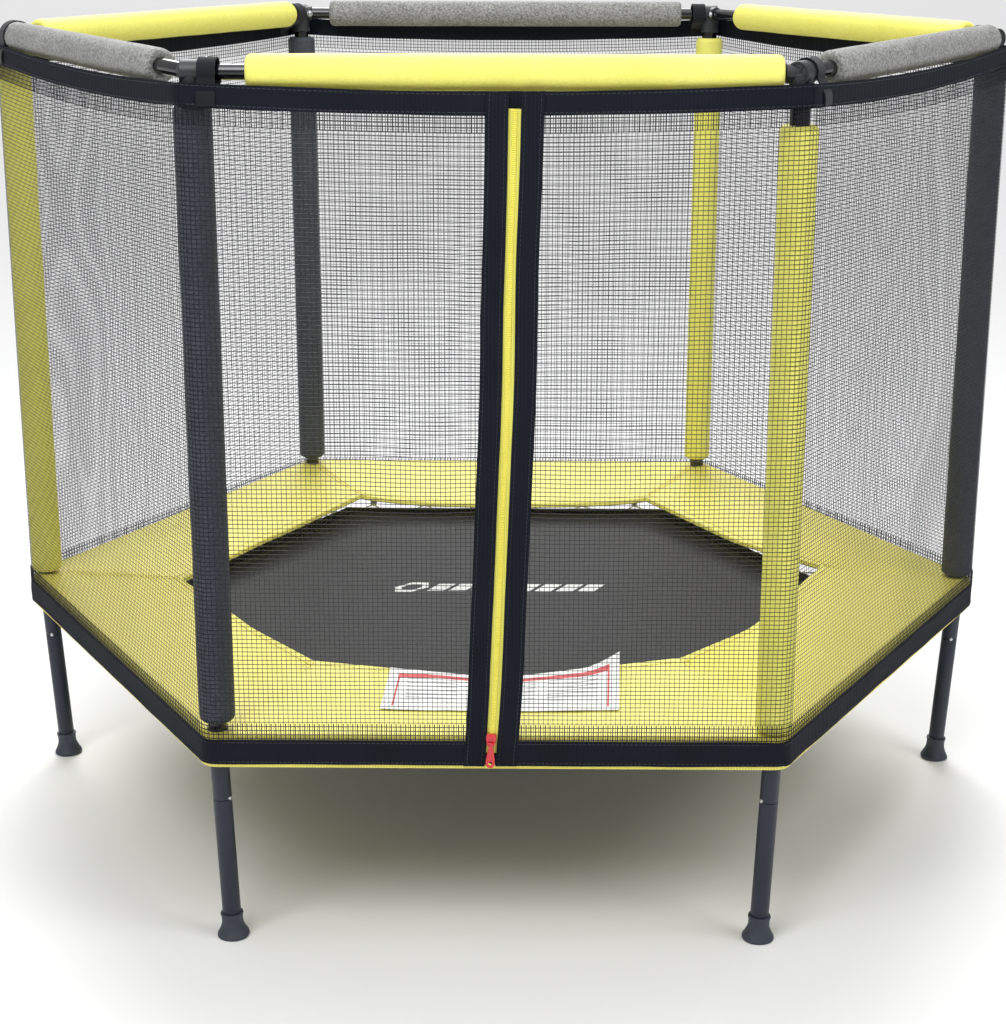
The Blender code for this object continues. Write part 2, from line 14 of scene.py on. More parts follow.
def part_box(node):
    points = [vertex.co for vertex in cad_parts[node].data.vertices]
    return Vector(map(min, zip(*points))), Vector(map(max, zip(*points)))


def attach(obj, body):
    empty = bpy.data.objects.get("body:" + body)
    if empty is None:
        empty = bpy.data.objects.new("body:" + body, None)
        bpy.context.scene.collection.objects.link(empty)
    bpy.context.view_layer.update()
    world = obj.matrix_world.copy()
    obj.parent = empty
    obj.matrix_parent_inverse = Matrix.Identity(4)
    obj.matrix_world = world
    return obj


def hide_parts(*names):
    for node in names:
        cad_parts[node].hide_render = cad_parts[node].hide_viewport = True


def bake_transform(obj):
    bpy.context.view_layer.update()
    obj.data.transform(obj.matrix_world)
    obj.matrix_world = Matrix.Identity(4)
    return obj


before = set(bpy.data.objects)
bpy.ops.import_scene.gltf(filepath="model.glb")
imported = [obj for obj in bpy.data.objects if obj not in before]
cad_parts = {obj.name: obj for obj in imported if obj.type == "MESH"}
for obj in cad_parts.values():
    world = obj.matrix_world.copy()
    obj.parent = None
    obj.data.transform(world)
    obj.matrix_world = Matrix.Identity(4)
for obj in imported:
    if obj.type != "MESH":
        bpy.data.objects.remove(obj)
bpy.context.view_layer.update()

# ---- frame sections --------------------------------------------------------------
# Six powder-coated steel tubes make the hexagon. Each has a post welded on for its
# enclosure pole, a stub below for its leg, and a receiver for the next tube's end.
SIDES = 6
TURN = 2 * math.pi / SIDES
NEXT_WAY = math.pi / 2 + TURN / 2  # direction of side 0, seen from corner 0
low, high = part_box("pole_1")
CORNER_RADIUS = (low[0] + high[0]) / 2
TUBE_RADIUS = (high[0] - low[0]) / 2
APOTHEM = CORNER_RADIUS * math.cos(TURN / 2)
SIDE_LENGTH = CORNER_RADIUS
FRAME_HEIGHT = 0.2625
POST_RADIUS = 0.0128
RECEIVER_RADIUS = 0.0126
RECEIVER_LENGTH = 0.054
PLUG_LENGTH = 0.03  # how much of a tube is inside the next one's receiver
JOINT_HEIGHT = 0.200  # where each leg meets its stub
GAP = 0.0003
low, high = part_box("foot_1")
LEG_LEAN = math.atan2(CORNER_RADIUS - (low[0] + high[0]) / 2, FRAME_HEIGHT)
LEG_AXIS = FRAME_HEIGHT / math.cos(LEG_LEAN)
STUB = (FRAME_HEIGHT - JOINT_HEIGHT) / math.cos(LEG_LEAN)
low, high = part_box("spring_pad")
PAD_TOP = high[2]


def at(x, y, z):
    return Matrix.Translation((x, y, z))


def about_z(angle):
    return Matrix.Rotation(angle, 4, "Z")


def along(angle):
    """Turns something made along Z to lie level, pointing in that direction."""
    return about_z(angle) @ Matrix.Rotation(math.pi / 2, 4, "Y")


def rounded(points, radius, steps=4):
    """The same line with each of its corners eased over that distance."""
    points = [Vector(point) for point in points]
    eased = [points[0]]
    for before, corner, after in zip(points, points[1:], points[2:]):
        reach_in = min(radius, (before - corner).length / 2)
        reach_out = min(radius, (after - corner).length / 2)
        start = corner + (before - corner).normalized() * reach_in
        end = corner + (after - corner).normalized() * reach_out
        for step in range(steps + 1):
            share = step / steps
            eased.append(start.lerp(corner, share).lerp(corner.lerp(end, share), share))
    eased.append(points[-1])
    return eased


def turned(bm, profile, place, steps=40):
    """Adds a solid of revolution about Z. The profile runs from the axis to the axis."""
    rings = []
    for radius, height in profile:
        count = steps if radius > 1e-7 else 1
        ring = []
        for step in range(count):
            angle = 2 * math.pi * step / count
            point = Vector((radius * math.cos(angle), radius * math.sin(angle), height))
            ring.append(bm.verts.new(place @ point))
        rings.append(ring)
    for near, far in zip(rings, rings[1:]):
        for step in range(steps):
            after = (step + 1) % steps
            loop = [near[step % len(near)], near[after % len(near)]]
            loop += [far[after % len(far)], far[step % len(far)]]
            corners = list(dict.fromkeys(loop))
            if len(corners) > 2:
                bm.faces.new(corners)


def rod(bm, radius, low, high, place, ease=0.0006, steps=40):
    """Adds a round bar along Z with its edges eased."""
    turned(
        bm,
        rounded([(0, high), (radius, high), (radius, low), (0, low)], ease, 2),
        place,
        steps,
    )


def add_node(tree, kind, settings=None, inputs=None):
    """Adds a node with its settings, and its inputs as values or as sockets to link."""
    node = tree.nodes.new(kind)
    for name, value in (settings or {}).items():
        setattr(node, name, value)
    for name, value in (inputs or {}).items():
        if isinstance(value, bpy.types.NodeSocket):
            tree.links.new(value, node.inputs[name])
        else:
            node.inputs[name].default_value = value
    return node


def linear(code):
    """An sRGB hex colour as linear red, green, blue and alpha."""
    parts = [int(code[start : start + 2], 16) / 255 for start in (1, 3, 5)]
    return (*[p / 12.92 if p < 0.04045 else ((p + 0.055) / 1.055) ** 2.4 for p in parts], 1)


def finish(name, dark, light, roughness, grain, relief, metallic=0.0, drift=0.06):
    """A material whose colour drifts between two shades over a fine relief.

    grain is how wide the bumps are, relief how high, and drift how far apart the
    colour's clouds are, all in metres. Returns the material and its last nodes.
    """
    material = bpy.data.materials.new(name)
    material.use_nodes = True
    tree = material.node_tree
    shader = tree.nodes["Principled BSDF"]
    shader.inputs["Metallic"].default_value = metallic
    place = add_node(tree, "ShaderNodeTexCoord").outputs["Object"]
    cloud = add_node(
        tree, "ShaderNodeTexNoise", inputs={"Vector": place, "Scale": 1 / drift, "Detail": 5}
    )
    shade = add_node(
        tree,
        "ShaderNodeMix",
        {"data_type": "RGBA"},
        {"Factor": cloud.outputs["Fac"], "A": linear(dark), "B": linear(light)},
    )
    gloss = add_node(
        tree,
        "ShaderNodeMapRange",
        inputs={
            "Value": cloud.outputs["Fac"],
            "To Min": roughness - 0.06,
            "To Max": roughness + 0.06,
        },
    )
    grains = add_node(
        tree, "ShaderNodeTexNoise", inputs={"Vector": place, "Scale": 1 / grain, "Detail": 2}
    )
    bump = add_node(
        tree,
        "ShaderNodeBump",
        inputs={"Strength": 1.0, "Distance": relief, "Height": grains.outputs["Fac"]},
    )
    tree.links.new(shade.outputs["Result"], shader.inputs["Base Color"])
    tree.links.new(gloss.outputs["Result"], shader.inputs["Roughness"])
    tree.links.new(bump.outputs["Normal"], shader.inputs["Normal"])
    return material, {"place": place, "shade": shade, "bump": bump, "shader": shader}


def added(name, data):
    """A new object of that name in the scene."""
    obj = bpy.data.objects.new(name, data)
    bpy.context.scene.collection.objects.link(obj)
    return obj


def made(name, bm, material, sharp=35):
    """The finished mesh as an object of that name, its faces outward and shaded smooth."""
    bmesh.ops.recalc_face_normals(bm, faces=bm.faces)
    mesh = bpy.data.meshes.new(name)
    bm.to_mesh(mesh)
    bm.free()
    mesh.shade_smooth()
    mesh.set_sharp_from_angle(angle=math.radians(sharp))
    mesh.materials.append(material)
    return added(name, mesh)


def lean_place(index):
    """The leg's own frame: its axis along Z and the frame corner at zero height."""
    corner = about_z(index * TURN) @ at(CORNER_RADIUS, 0, FRAME_HEIGHT)
    return corner @ Matrix.Rotation(LEG_LEAN, 4, "Y")


def weld(bm, radius, place, bead=0.0016, steps=40):
    """Adds the rippled bead of weld round a tube at zero height."""
    section = 8
    rings = []
    for step in range(steps):
        angle = 2 * math.pi * step / steps
        ripple = bead * (1 + 0.18 * math.sin(step * 2.7))
        ring = []
        for part in range(section):
            turn = 2 * math.pi * part / section
            reach = radius + ripple * math.cos(turn)
            point = Vector((reach * math.cos(angle), reach * math.sin(angle), 0))
            point.z = ripple * math.sin(turn)
            ring.append(bm.verts.new(place @ point))
        rings.append(ring)
    for step in range(steps):
        near, far = rings[step], rings[(step + 1) % steps]
        for part in range(section):
            after = (part + 1) % section
            bm.faces.new([near[part], near[after], far[after], far[part]])


# Powder coat baked on steel: navy black, satin, with a faint orange peel.
powder_coat, _ = finish("powder_coated_steel", "#131826", "#1C2236", 0.42, 0.0016, 0.00012)

for index in range(SIDES):
    bm = bmesh.new()
    corner = about_z(index * TURN) @ at(CORNER_RADIUS, 0, FRAME_HEIGHT)
    way = corner @ along(NEXT_WAY)
    back = corner @ along(-NEXT_WAY)
    lean = lean_place(index)
    rod(bm, TUBE_RADIUS, 0, SIDE_LENGTH - RECEIVER_LENGTH + PLUG_LENGTH, way)
    rod(bm, RECEIVER_RADIUS, -0.004, RECEIVER_LENGTH, back)
    rod(bm, POST_RADIUS, -0.006, PAD_TOP - FRAME_HEIGHT, corner)
    rod(bm, TUBE_RADIUS, -STUB, 0, lean, 0.0012)
    weld(bm, TUBE_RADIUS + 0.0008, lean @ at(0, 0, -TUBE_RADIUS - 0.001))
    weld(bm, POST_RADIUS, corner @ at(0, 0, TUBE_RADIUS))
    section = made(f"frame_tube_{index + 1}", bm, powder_coat)
    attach(section, "root")
    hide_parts(f"frame_section_{index + 1}")

# ---- legs ------------------------------------------------------------------------
# Straight powder-coated steel tubes, drawn down at the top to plug into the stubs.
# A sprung steel button snaps out through a hole at each joint to lock it.
BUTTON_RADIUS = 0.0027
BUTTON_RISE = 0.0022
BUTTON_TURN = (-90, -90, 90, 90, 90, -90)  # which way each button faces, off its corner

# Bright zinc plate on pressed steel: a cool, slightly cloudy silver.
zinc_plate, _ = finish(
    "zinc_plated_steel", "#B9BCC2", "#E4E6EA", 0.27, 0.0009, 0.00003, 1.0, 0.01
)

for index in range(SIDES):
    bm = bmesh.new()
    lean = lean_place(index)
    rod(bm, TUBE_RADIUS, -LEG_AXIS + 0.007, -STUB - GAP, lean, 0.0012)
    rod(bm, TUBE_RADIUS - 0.0016, -STUB - 0.004, -STUB + 0.004, lean)
    leg = made(f"leg_tube_{index + 1}", bm, powder_coat)
    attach(leg, "root")
    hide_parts(f"leg_{index + 1}")

    bm = bmesh.new()
    facing = about_z(math.radians(BUTTON_TURN[index])) @ Matrix.Rotation(math.pi / 2, 4, "Y")
    dome = [
        (0, BUTTON_RISE),
        (0.55 * BUTTON_RADIUS, 0.9 * BUTTON_RISE),
        (0.88 * BUTTON_RADIUS, 0.6 * BUTTON_RISE),
        (BUTTON_RADIUS, 0),
        (BUTTON_RADIUS, -0.002),
        (0, -0.002),
    ]
    turned(bm, dome, lean @ at(0, 0, -STUB + 0.0015) @ facing @ at(0, 0, TUBE_RADIUS), 16)
    button = made(f"snap_button_{index + 1}", bm, zinc_plate)
    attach(button, "root")

# ---- feet ------------------------------------------------------------------------
# Moulded rubber boots pushed on over the legs' ends: a beaded collar, a straight neck
# and a bell that flares out to a rim, flat on the floor.
FOOT_HEIGHT = 0.034
FOOT_NECK = 0.0138
FOOT_COLLAR = 0.0149
FOOT_BASE = 0.0205
FOOT_RIM = 0.0042

# Moulded rubber: dark slate, matt, its shade drifting at random in small clouds.
foot_rubber, _ = finish(
    "moulded_rubber", "#2B3039", "#3B434F", 0.58, 0.0022, 0.00010, drift=0.02
)

for index in range(SIDES):
    bm = bmesh.new()
    floor = -LEG_AXIS
    top = floor + FOOT_HEIGHT
    flare = []
    for step in range(13):
        angle = step / 12 * math.pi / 2
        radius = FOOT_NECK + (FOOT_BASE - FOOT_NECK) * math.sin(angle) ** 1.4
        height = floor + FOOT_RIM + 0.5 * FOOT_HEIGHT * (1 - math.sin(angle) ** 0.9)
        flare.append((radius, height))
    bead = [
        (FOOT_COLLAR - 0.0018, top),
        (FOOT_COLLAR - 0.0004, top - 0.0004),
        (FOOT_COLLAR, top - 0.0018),
        (FOOT_COLLAR - 0.0003, top - 0.0034),
        (FOOT_NECK, top - 0.0046),
    ]
    profile = [(0, top), *bead, *flare]
    profile += [(FOOT_BASE + 0.0004, floor + 0.0018), (FOOT_BASE, floor + 0.0004)]
    profile += [(FOOT_BASE - 0.0006, floor), (0, floor)]
    turned(bm, profile, lean_place(index), 48)
    for vert in bm.verts:
        vert.co.z = max(vert.co.z, 0.0)
    foot = made(f"rubber_foot_{index + 1}", bm, foot_rubber)
    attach(foot, "root")
    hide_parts(f"foot_{index + 1}")

# ---- jumping mat -----------------------------------------------------------------
# A hexagon of woven polypropylene, hemmed with webbing all round. Steel V-rings are
# sewn into the hem for the springs, and a plain landing mark is printed in the middle.
low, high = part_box("jumping_mat")
MAT_RADIUS = high[0]
MAT_MIDDLE = (low[2] + high[2]) / 2
MAT_THICKNESS = 0.0012
HEM_WIDTH = 0.030
HEM_THICKNESS = 0.0011
THREAD_PITCH = 0.0034  # woven tapes, drawn as coarse as they need to be to show
SPRINGS_A_SIDE = 6
EDGE_SAG = 0.002  # how far the mat's edge falls back between its springs
STITCH_LENGTH = 0.005
STITCH_GAP = 0.0025


def woven(name, dark, light, pitch, relief, roughness, sheen=0.0, shine=0.25):
    """Cloth woven from flat tapes: two crossed waves that go over and under each other, its
    colour painted darker in the weave's hollows and lighter on its crests as painted shade and
    highlight.
    """
    material, parts = finish(name, dark, light, roughness, pitch / 4, relief / 4)
    parts["shader"].inputs["Specular IOR Level"].default_value = shine
    tree = material.node_tree
    split = add_node(tree, "ShaderNodeSeparateXYZ", inputs={"Vector": parts["place"]})
    swings = []
    for axis in ("X", "Y"):
        inputs = {0: split.outputs[axis], 1: math.pi / pitch}
        turns = add_node(tree, "ShaderNodeMath", {"operation": "MULTIPLY"}, inputs)
        swing = add_node(tree, "ShaderNodeMath", {"operation": "SINE"}, {0: turns.outputs[0]})
        swings.append(swing.outputs[0])
    inputs = dict(enumerate(swings))
    over = add_node(tree, "ShaderNodeMath", {"operation": "MULTIPLY"}, inputs)
    inputs = {0: over.outputs[0], 1: 0.5, 2: 0.5}
    height = add_node(tree, "ShaderNodeMath", {"operation": "MULTIPLY_ADD"}, inputs).outputs[0]
    # Painted shade and highlight: the colour is darkened where the weave dips and lightened
    # where it rises.
    tone = add_node(
        tree,
        "ShaderNodeMix",
        {"data_type": "RGBA", "blend_type": "MULTIPLY"},
        {"Factor": 0.35, "A": parts["shade"].outputs["Result"], "B": (1, 1, 1, 1)},
    )
    weave_light_and_shade = add_node(
        tree,
        "ShaderNodeMapRange",
        inputs={"Value": height, "To Min": 0.35, "To Max": 1.25},
    )
    tree.links.new(weave_light_and_shade.outputs["Result"], tone.inputs["B"])
    tree.links.new(tone.outputs["Result"], parts["shader"].inputs["Base Color"])
    weave = add_node(
        tree,
        "ShaderNodeBump",
        inputs={
            "Strength": 1.0,
            "Distance": relief,
            "Height": height,
            "Normal": parts["bump"].outputs["Normal"],
        },
    )
    tree.links.new(weave.outputs["Normal"], parts["shader"].inputs["Normal"])
    parts["shader"].inputs["Sheen Weight"].default_value = sheen
    return material, parts


# Woven polypropylene tape: charcoal, with a low shine on each flat tape.
mat_cloth, _ = woven(
    "woven_polypropylene", "#363637", "#464647", THREAD_PITCH, 0.0003, 0.55, 0.0, 0.10
)
# Webbing: navy-black polyester, ribbed across its width, with a soft low sheen.
webbing_cloth, _ = woven(
    "polyester_webbing", "#0F1118", "#1B1F2A", 0.0022, 0.00035, 0.72, 0.0, 0.12
)
# Sewing thread: bonded polyester in a grey that reads as dashes on the dark cloth.
grey_thread, _ = finish("bonded_thread", "#5A5C60", "#7A7C80", 0.5, 0.0006, 0.00003)


def hexagon_point(radius, side, share):
    """A point part of the way along one side of a hexagon with that corner radius."""
    start = about_z(side * TURN) @ Vector((radius, 0, 0))
    end = about_z((side + 1) * TURN) @ Vector((radius, 0, 0))
    return start.lerp(end, share)


def skinned(bm, loops, ring=False):
    """Joins loops of points into a closed skin: capped at both ends, or round in a ring."""
    loops = [[bm.verts.new(point) for point in loop] for loop in loops]
    pairs = list(zip(loops, loops[1:]))
    if ring:
        pairs.append((loops[-1], loops[0]))
    else:
        bm.faces.new(loops[0][::-1])
        bm.faces.new(loops[-1])
    for near, far in pairs:
        count = len(near)
        for step in range(count):
            after = (step + 1) % count
            bm.faces.new([near[step], near[after], far[after], far[step]])


def hexagon_loop(radius, height, sag, steps=24):
    """Points round a hexagon whose edge is drawn in between the springs."""
    loop = []
    for side in range(SIDES):
        for step in range(steps):
            share = step / steps
            slack = abs(math.cos(math.pi * SPRINGS_A_SIDE * share))
            point = hexagon_point(radius - sag * slack, side, share)
            loop.append((point.x, point.y, height))
    return loop


def geometry_tree(name, wanted):
    """A Geometry Nodes tree with those named inputs, and its input node."""
    tree = bpy.data.node_groups.new(name, "GeometryNodeTree")
    tree.interface.new_socket("Geometry", in_out="INPUT", socket_type="NodeSocketGeometry")
    for label, kind in wanted.items():
        tree.interface.new_socket(label, in_out="INPUT", socket_type=f"NodeSocket{kind}")
    tree.interface.new_socket("Geometry", in_out="OUTPUT", socket_type="NodeSocketGeometry")
    return tree, add_node(tree, "NodeGroupInput").outputs


def end_tree(tree, geometry, inputs):
    """Ends a tree in Realize Instances and Set Material."""
    real = add_node(tree, "GeometryNodeRealizeInstances", inputs={"Geometry": geometry})
    coloured = add_node(
        tree,
        "GeometryNodeSetMaterial",
        inputs={"Geometry": real.outputs["Geometry"], "Material": inputs["Material"]},
    )
    add_node(tree, "NodeGroupOutput", inputs={"Geometry": coloured.outputs["Geometry"]})


def guide_mesh(lines, closed=False, weights=None):
    """Lines of points joined by edges, each line with its own weight if they are given."""
    points = [point for line in lines for point in line]
    edges = []
    first = 0
    for line in lines:
        last = first + len(line) - 1
        edges += [(at_point, at_point + 1) for at_point in range(first, last)]
        if closed:
            edges.append((last, first))
        first = last + 1
    mesh = bpy.data.meshes.new("guide")
    mesh.from_pydata(points, edges, [])
    weight = mesh.attributes.new("weight", "FLOAT", "POINT")
    values = [1.0] * len(points)
    if weights:
        values = [weights[index] for index, line in enumerate(lines) for _ in line]
    weight.data.foreach_set("value", values)
    return mesh


def grown(name, mesh, tree, values, smooth=True):
    """The plain mesh that a tree makes from its guide, as an object of that name."""
    obj = added(name, mesh)
    modifier = obj.modifiers.new("tree", "NODES")
    modifier.node_group = tree
    for item in tree.interface.items_tree:
        if item.in_out == "INPUT" and item.name in values:
            modifier[item.identifier] = values[item.name]
    graph = bpy.context.evaluated_depsgraph_get()
    result = bpy.data.meshes.new_from_object(obj.evaluated_get(graph))
    obj.modifiers.clear()
    obj.data = result
    result.name = name
    if smooth:
        result.shade_smooth()
        result.set_sharp_from_angle(angle=math.radians(50))
    return obj


def laid_tree(name, sides, turn=None):
    """A tree of short rods laid along its guide, or all turned one way if that is given."""
    wanted = {"Pitch": "Float", "Length": "Float", "Radius": "Float", "Material": "Material"}
    tree, ins = geometry_tree(name, wanted)
    route = add_node(tree, "GeometryNodeMeshToCurve", inputs={"Mesh": ins["Geometry"]})
    spots = add_node(
        tree,
        "GeometryNodeCurveToPoints",
        {"mode": "LENGTH"},
        {"Curve": route.outputs["Curve"], "Length": ins["Pitch"]},
    )
    short_rod = add_node(
        tree,
        "GeometryNodeMeshCylinder",
        inputs={"Vertices": sides, "Radius": ins["Radius"], "Depth": ins["Length"]},
    )
    laid = add_node(
        tree,
        "GeometryNodeInstanceOnPoints",
        inputs={
            "Points": spots.outputs["Points"],
            "Instance": short_rod.outputs["Mesh"],
            "Rotation": turn or spots.outputs["Rotation"],
        },
    )
    end_tree(tree, laid.outputs["Instances"], ins)
    return tree


# Stitches: short round threads laid end to end along a seam.
stitch_tree = laid_tree("stitches", 5)


def sewn(name, lines, material, pitch, stitch, thread, closed=False):
    """Stitches of that length and thread radius along lines of points."""
    values = {"Pitch": pitch, "Length": stitch, "Radius": thread, "Material": material}
    return grown(name, guide_mesh(lines, closed), stitch_tree, values)


# Wires: a round rod or yarn along each line of the guide.
wire_tree, ins = geometry_tree(
    "wires", {"Radius": "Float", "Sides": "Int", "Material": "Material"}
)
route = add_node(wire_tree, "GeometryNodeMeshToCurve", inputs={"Mesh": ins["Geometry"]})
outline = add_node(
    wire_tree,
    "GeometryNodeCurvePrimitiveCircle",
    inputs={"Resolution": ins["Sides"], "Radius": ins["Radius"]},
)
weight = add_node(
    wire_tree, "GeometryNodeInputNamedAttribute", {"data_type": "FLOAT"}, {"Name": "weight"}
)
rods = add_node(
    wire_tree,
    "GeometryNodeCurveToMesh",
    inputs={
        "Curve": route.outputs["Curve"],
        "Profile Curve": outline.outputs["Curve"],
        "Scale": weight.outputs["Attribute"],
        "Fill Caps": True,
    },
)
end_tree(wire_tree, rods.outputs["Mesh"], ins)

bm = bmesh.new()
radii = [MAT_RADIUS * share for share in (0.02, 0.15, 0.3, 0.45, 0.6, 0.75, 0.88, 0.96, 1)]
half = MAT_THICKNESS / 2
loops = []
for height, order in ((half, radii), (-half, radii[::-1])):
    for radius in order:
        sag = 0.0 if radius < MAT_RADIUS else EDGE_SAG
        loops.append(hexagon_loop(radius, MAT_MIDDLE + height, sag))
skinned(bm, loops)
mat = made("woven_jumping_mat", bm, mat_cloth)
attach(mat, "mat")
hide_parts("jumping_mat")

bm = bmesh.new()
skin = half + HEM_THICKNESS
inner = MAT_RADIUS - HEM_WIDTH
loops = []
for radius, height in rounded(
    [(inner, skin), (MAT_RADIUS, skin), (MAT_RADIUS, -skin), (inner, -skin)], 0.0008, 2
):
    loops.append(hexagon_loop(radius, MAT_MIDDLE + height, EDGE_SAG))
for height in (-half, half):
    loops.append(hexagon_loop(inner, MAT_MIDDLE + height, EDGE_SAG))
skinned(bm, loops, ring=True)
hem = made("mat_hem", bm, webbing_cloth)
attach(hem, "mat")

seams = []
for inset in (0.003, HEM_WIDTH / 2, HEM_WIDTH - 0.003):
    seams.append(hexagon_loop(MAT_RADIUS - inset, MAT_MIDDLE + skin, EDGE_SAG))
pitch = STITCH_LENGTH + STITCH_GAP
mat_stitches = sewn("mat_hem_stitches", seams, grey_thread, pitch, STITCH_LENGTH, 0.0004, True)
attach(mat_stitches, "mat")

# The landing mark: a printed hexagon ring, then a row of slanting bars.
MARK_MIDDLE = 0.050  # how far behind the mat's middle it is printed
MARK_RADIUS = 0.026
MARK_LINE = 0.0100
MARK_RISE = 0.00015
MARK_SLANT = 0.55
MARK_DEPTH = 0.034
MARK_START = -0.166
BAR_COUNT = 8
BAR_LENGTH = 0.026
BAR_GAP = 0.0075
# Screen-print ink: a chalky pale grey that sinks into the weave.
mark_ink, _ = woven("screen_ink", "#DCDCDA", "#F2F2F0", THREAD_PITCH, 0.0002, 0.6)
bm = bmesh.new()
top = MAT_MIDDLE + half + MARK_RISE
low = top - 2 * MARK_RISE
middle = MARK_START + MARK_RADIUS
levels = []
for radius, height in (
    (MARK_RADIUS - MARK_LINE, low),
    (MARK_RADIUS - MARK_LINE, top),
    (MARK_RADIUS, top),
    (MARK_RADIUS, low),
):
    level = []
    for turn in range(SIDES):
        x, y = radius * math.cos(turn * TURN), radius * math.sin(turn * TURN)
        level.append((middle + x + y * MARK_SLANT, MARK_MIDDLE + y, height))
    levels.append(level)
skinned(bm, levels, ring=True)
start = MARK_START + 2 * MARK_RADIUS + BAR_GAP
reach = MARK_DEPTH / 2
for _ in range(BAR_COUNT):
    end = start + BAR_LENGTH
    corners = [(start, -reach), (end, -reach), (end, reach), (start, reach)]
    levels = []
    for height in (low, top):
        levels.append([(x + y * MARK_SLANT, MARK_MIDDLE + y, height) for x, y in corners])
    skinned(bm, levels)
    start = end + BAR_GAP
mark = made("landing_mark", bm, mark_ink)
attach(mark, "mat")

# ---- springs ---------------------------------------------------------------------
# Six zinc-plated coil springs a side, each hooked through a V-ring on the mat's hem
# and through a hole in the frame tube. They are hidden by the cover from above.
COIL_RADIUS = 0.0052
WIRE_RADIUS = 0.0011
COIL_LENGTH = 0.062
COIL_TURNS = 24
HOOK_RADIUS = 0.0042
RING_WIRE = 0.0014
RING_HALF = 0.011  # half a V-ring's width along the hem
MAT_APOTHEM = MAT_RADIUS * math.cos(TURN / 2)
SPRING_HEIGHT = MAT_MIDDLE + 0.0005
HOOK_START = MAT_APOTHEM + 0.0165
HOOK_END = APOTHEM - TUBE_RADIUS - 0.0005

spring_tree, ins = geometry_tree(
    "coil_springs",
    {
        "Coil length": "Float",
        "Coil radius": "Float",
        "Turns": "Float",
        "Wire": "Float",
        "Hook radius": "Float",
        "Shank": "Float",
        "Facing": "Float",
        "Material": "Material",
    },
)
coil = add_node(
    spring_tree,
    "GeometryNodeCurveSpiral",
    inputs={
        "Resolution": 10,
        "Rotations": ins["Turns"],
        "Start Radius": ins["Coil radius"],
        "End Radius": ins["Coil radius"],
        "Height": ins["Coil length"],
    },
)
parts_of_spring = [coil.outputs["Curve"]]
for end in (0, 1):
    way = 2.0 * end - 1.0
    inputs = {0: ins["Coil length"], 1: float(end)}
    base = add_node(spring_tree, "ShaderNodeMath", {"operation": "MULTIPLY"}, inputs).outputs[0]
    inputs = {0: ins["Shank"], 1: way, 2: base}
    tip = add_node(spring_tree, "ShaderNodeMath", {"operation": "MULTIPLY_ADD"}, inputs)
    tip = tip.outputs[0]
    low_end = add_node(spring_tree, "ShaderNodeCombineXYZ", inputs={"Z": base})
    high_end = add_node(spring_tree, "ShaderNodeCombineXYZ", inputs={"Z": tip})
    shank = add_node(
        spring_tree,
        "GeometryNodeCurvePrimitiveLine",
        inputs={"Start": low_end.outputs[0], "End": high_end.outputs[0]},
    )
    hook = add_node(
        spring_tree,
        "GeometryNodeCurveArc",
        inputs={
            "Resolution": 14,
            "Radius": ins["Hook radius"],
            "Start Angle": math.pi / 2 if end else -math.pi / 2,
            "Sweep Angle": -1.45 * math.pi,
        },
    )
    inputs = {0: ins["Hook radius"], 1: way, 2: tip}
    centre = add_node(spring_tree, "ShaderNodeMath", {"operation": "MULTIPLY_ADD"}, inputs)
    spot = add_node(spring_tree, "ShaderNodeCombineXYZ", inputs={"Z": centre.outputs[0]})
    turn = (math.pi / 2, 0, math.pi / 2)
    placed = add_node(
        spring_tree,
        "GeometryNodeTransform",
        inputs={
            "Geometry": hook.outputs["Curve"],
            "Translation": spot.outputs[0],
            "Rotation": turn,
        },
    )
    parts_of_spring += [shank.outputs["Curve"], placed.outputs["Geometry"]]
whole = spring_tree.nodes.new("GeometryNodeJoinGeometry")
for part in parts_of_spring:
    spring_tree.links.new(part, whole.inputs["Geometry"])
section = add_node(
    spring_tree,
    "GeometryNodeCurvePrimitiveCircle",
    inputs={"Resolution": 5, "Radius": ins["Wire"]},
)
spring = add_node(
    spring_tree,
    "GeometryNodeCurveToMesh",
    inputs={
        "Curve": whole.outputs["Geometry"],
        "Profile Curve": section.outputs["Curve"],
        "Fill Caps": True,
    },
)
inputs = {0: ins["Coil length"], 1: -0.5}
middle = add_node(spring_tree, "ShaderNodeMath", {"operation": "MULTIPLY"}, inputs)
shift = add_node(spring_tree, "ShaderNodeCombineXYZ", inputs={"Z": middle.outputs[0]})
centred = add_node(
    spring_tree,
    "GeometryNodeTransform",
    inputs={"Geometry": spring.outputs["Mesh"], "Translation": shift.outputs[0]},
)
facing = add_node(
    spring_tree, "ShaderNodeCombineXYZ", inputs={"Y": math.pi / 2, "Z": ins["Facing"]}
)
copies = add_node(
    spring_tree,
    "GeometryNodeInstanceOnPoints",
    inputs={
        "Points": ins["Geometry"],
        "Instance": centred.outputs["Geometry"],
        "Rotation": facing.outputs[0],
    },
)
end_tree(spring_tree, copies.outputs["Instances"], ins)

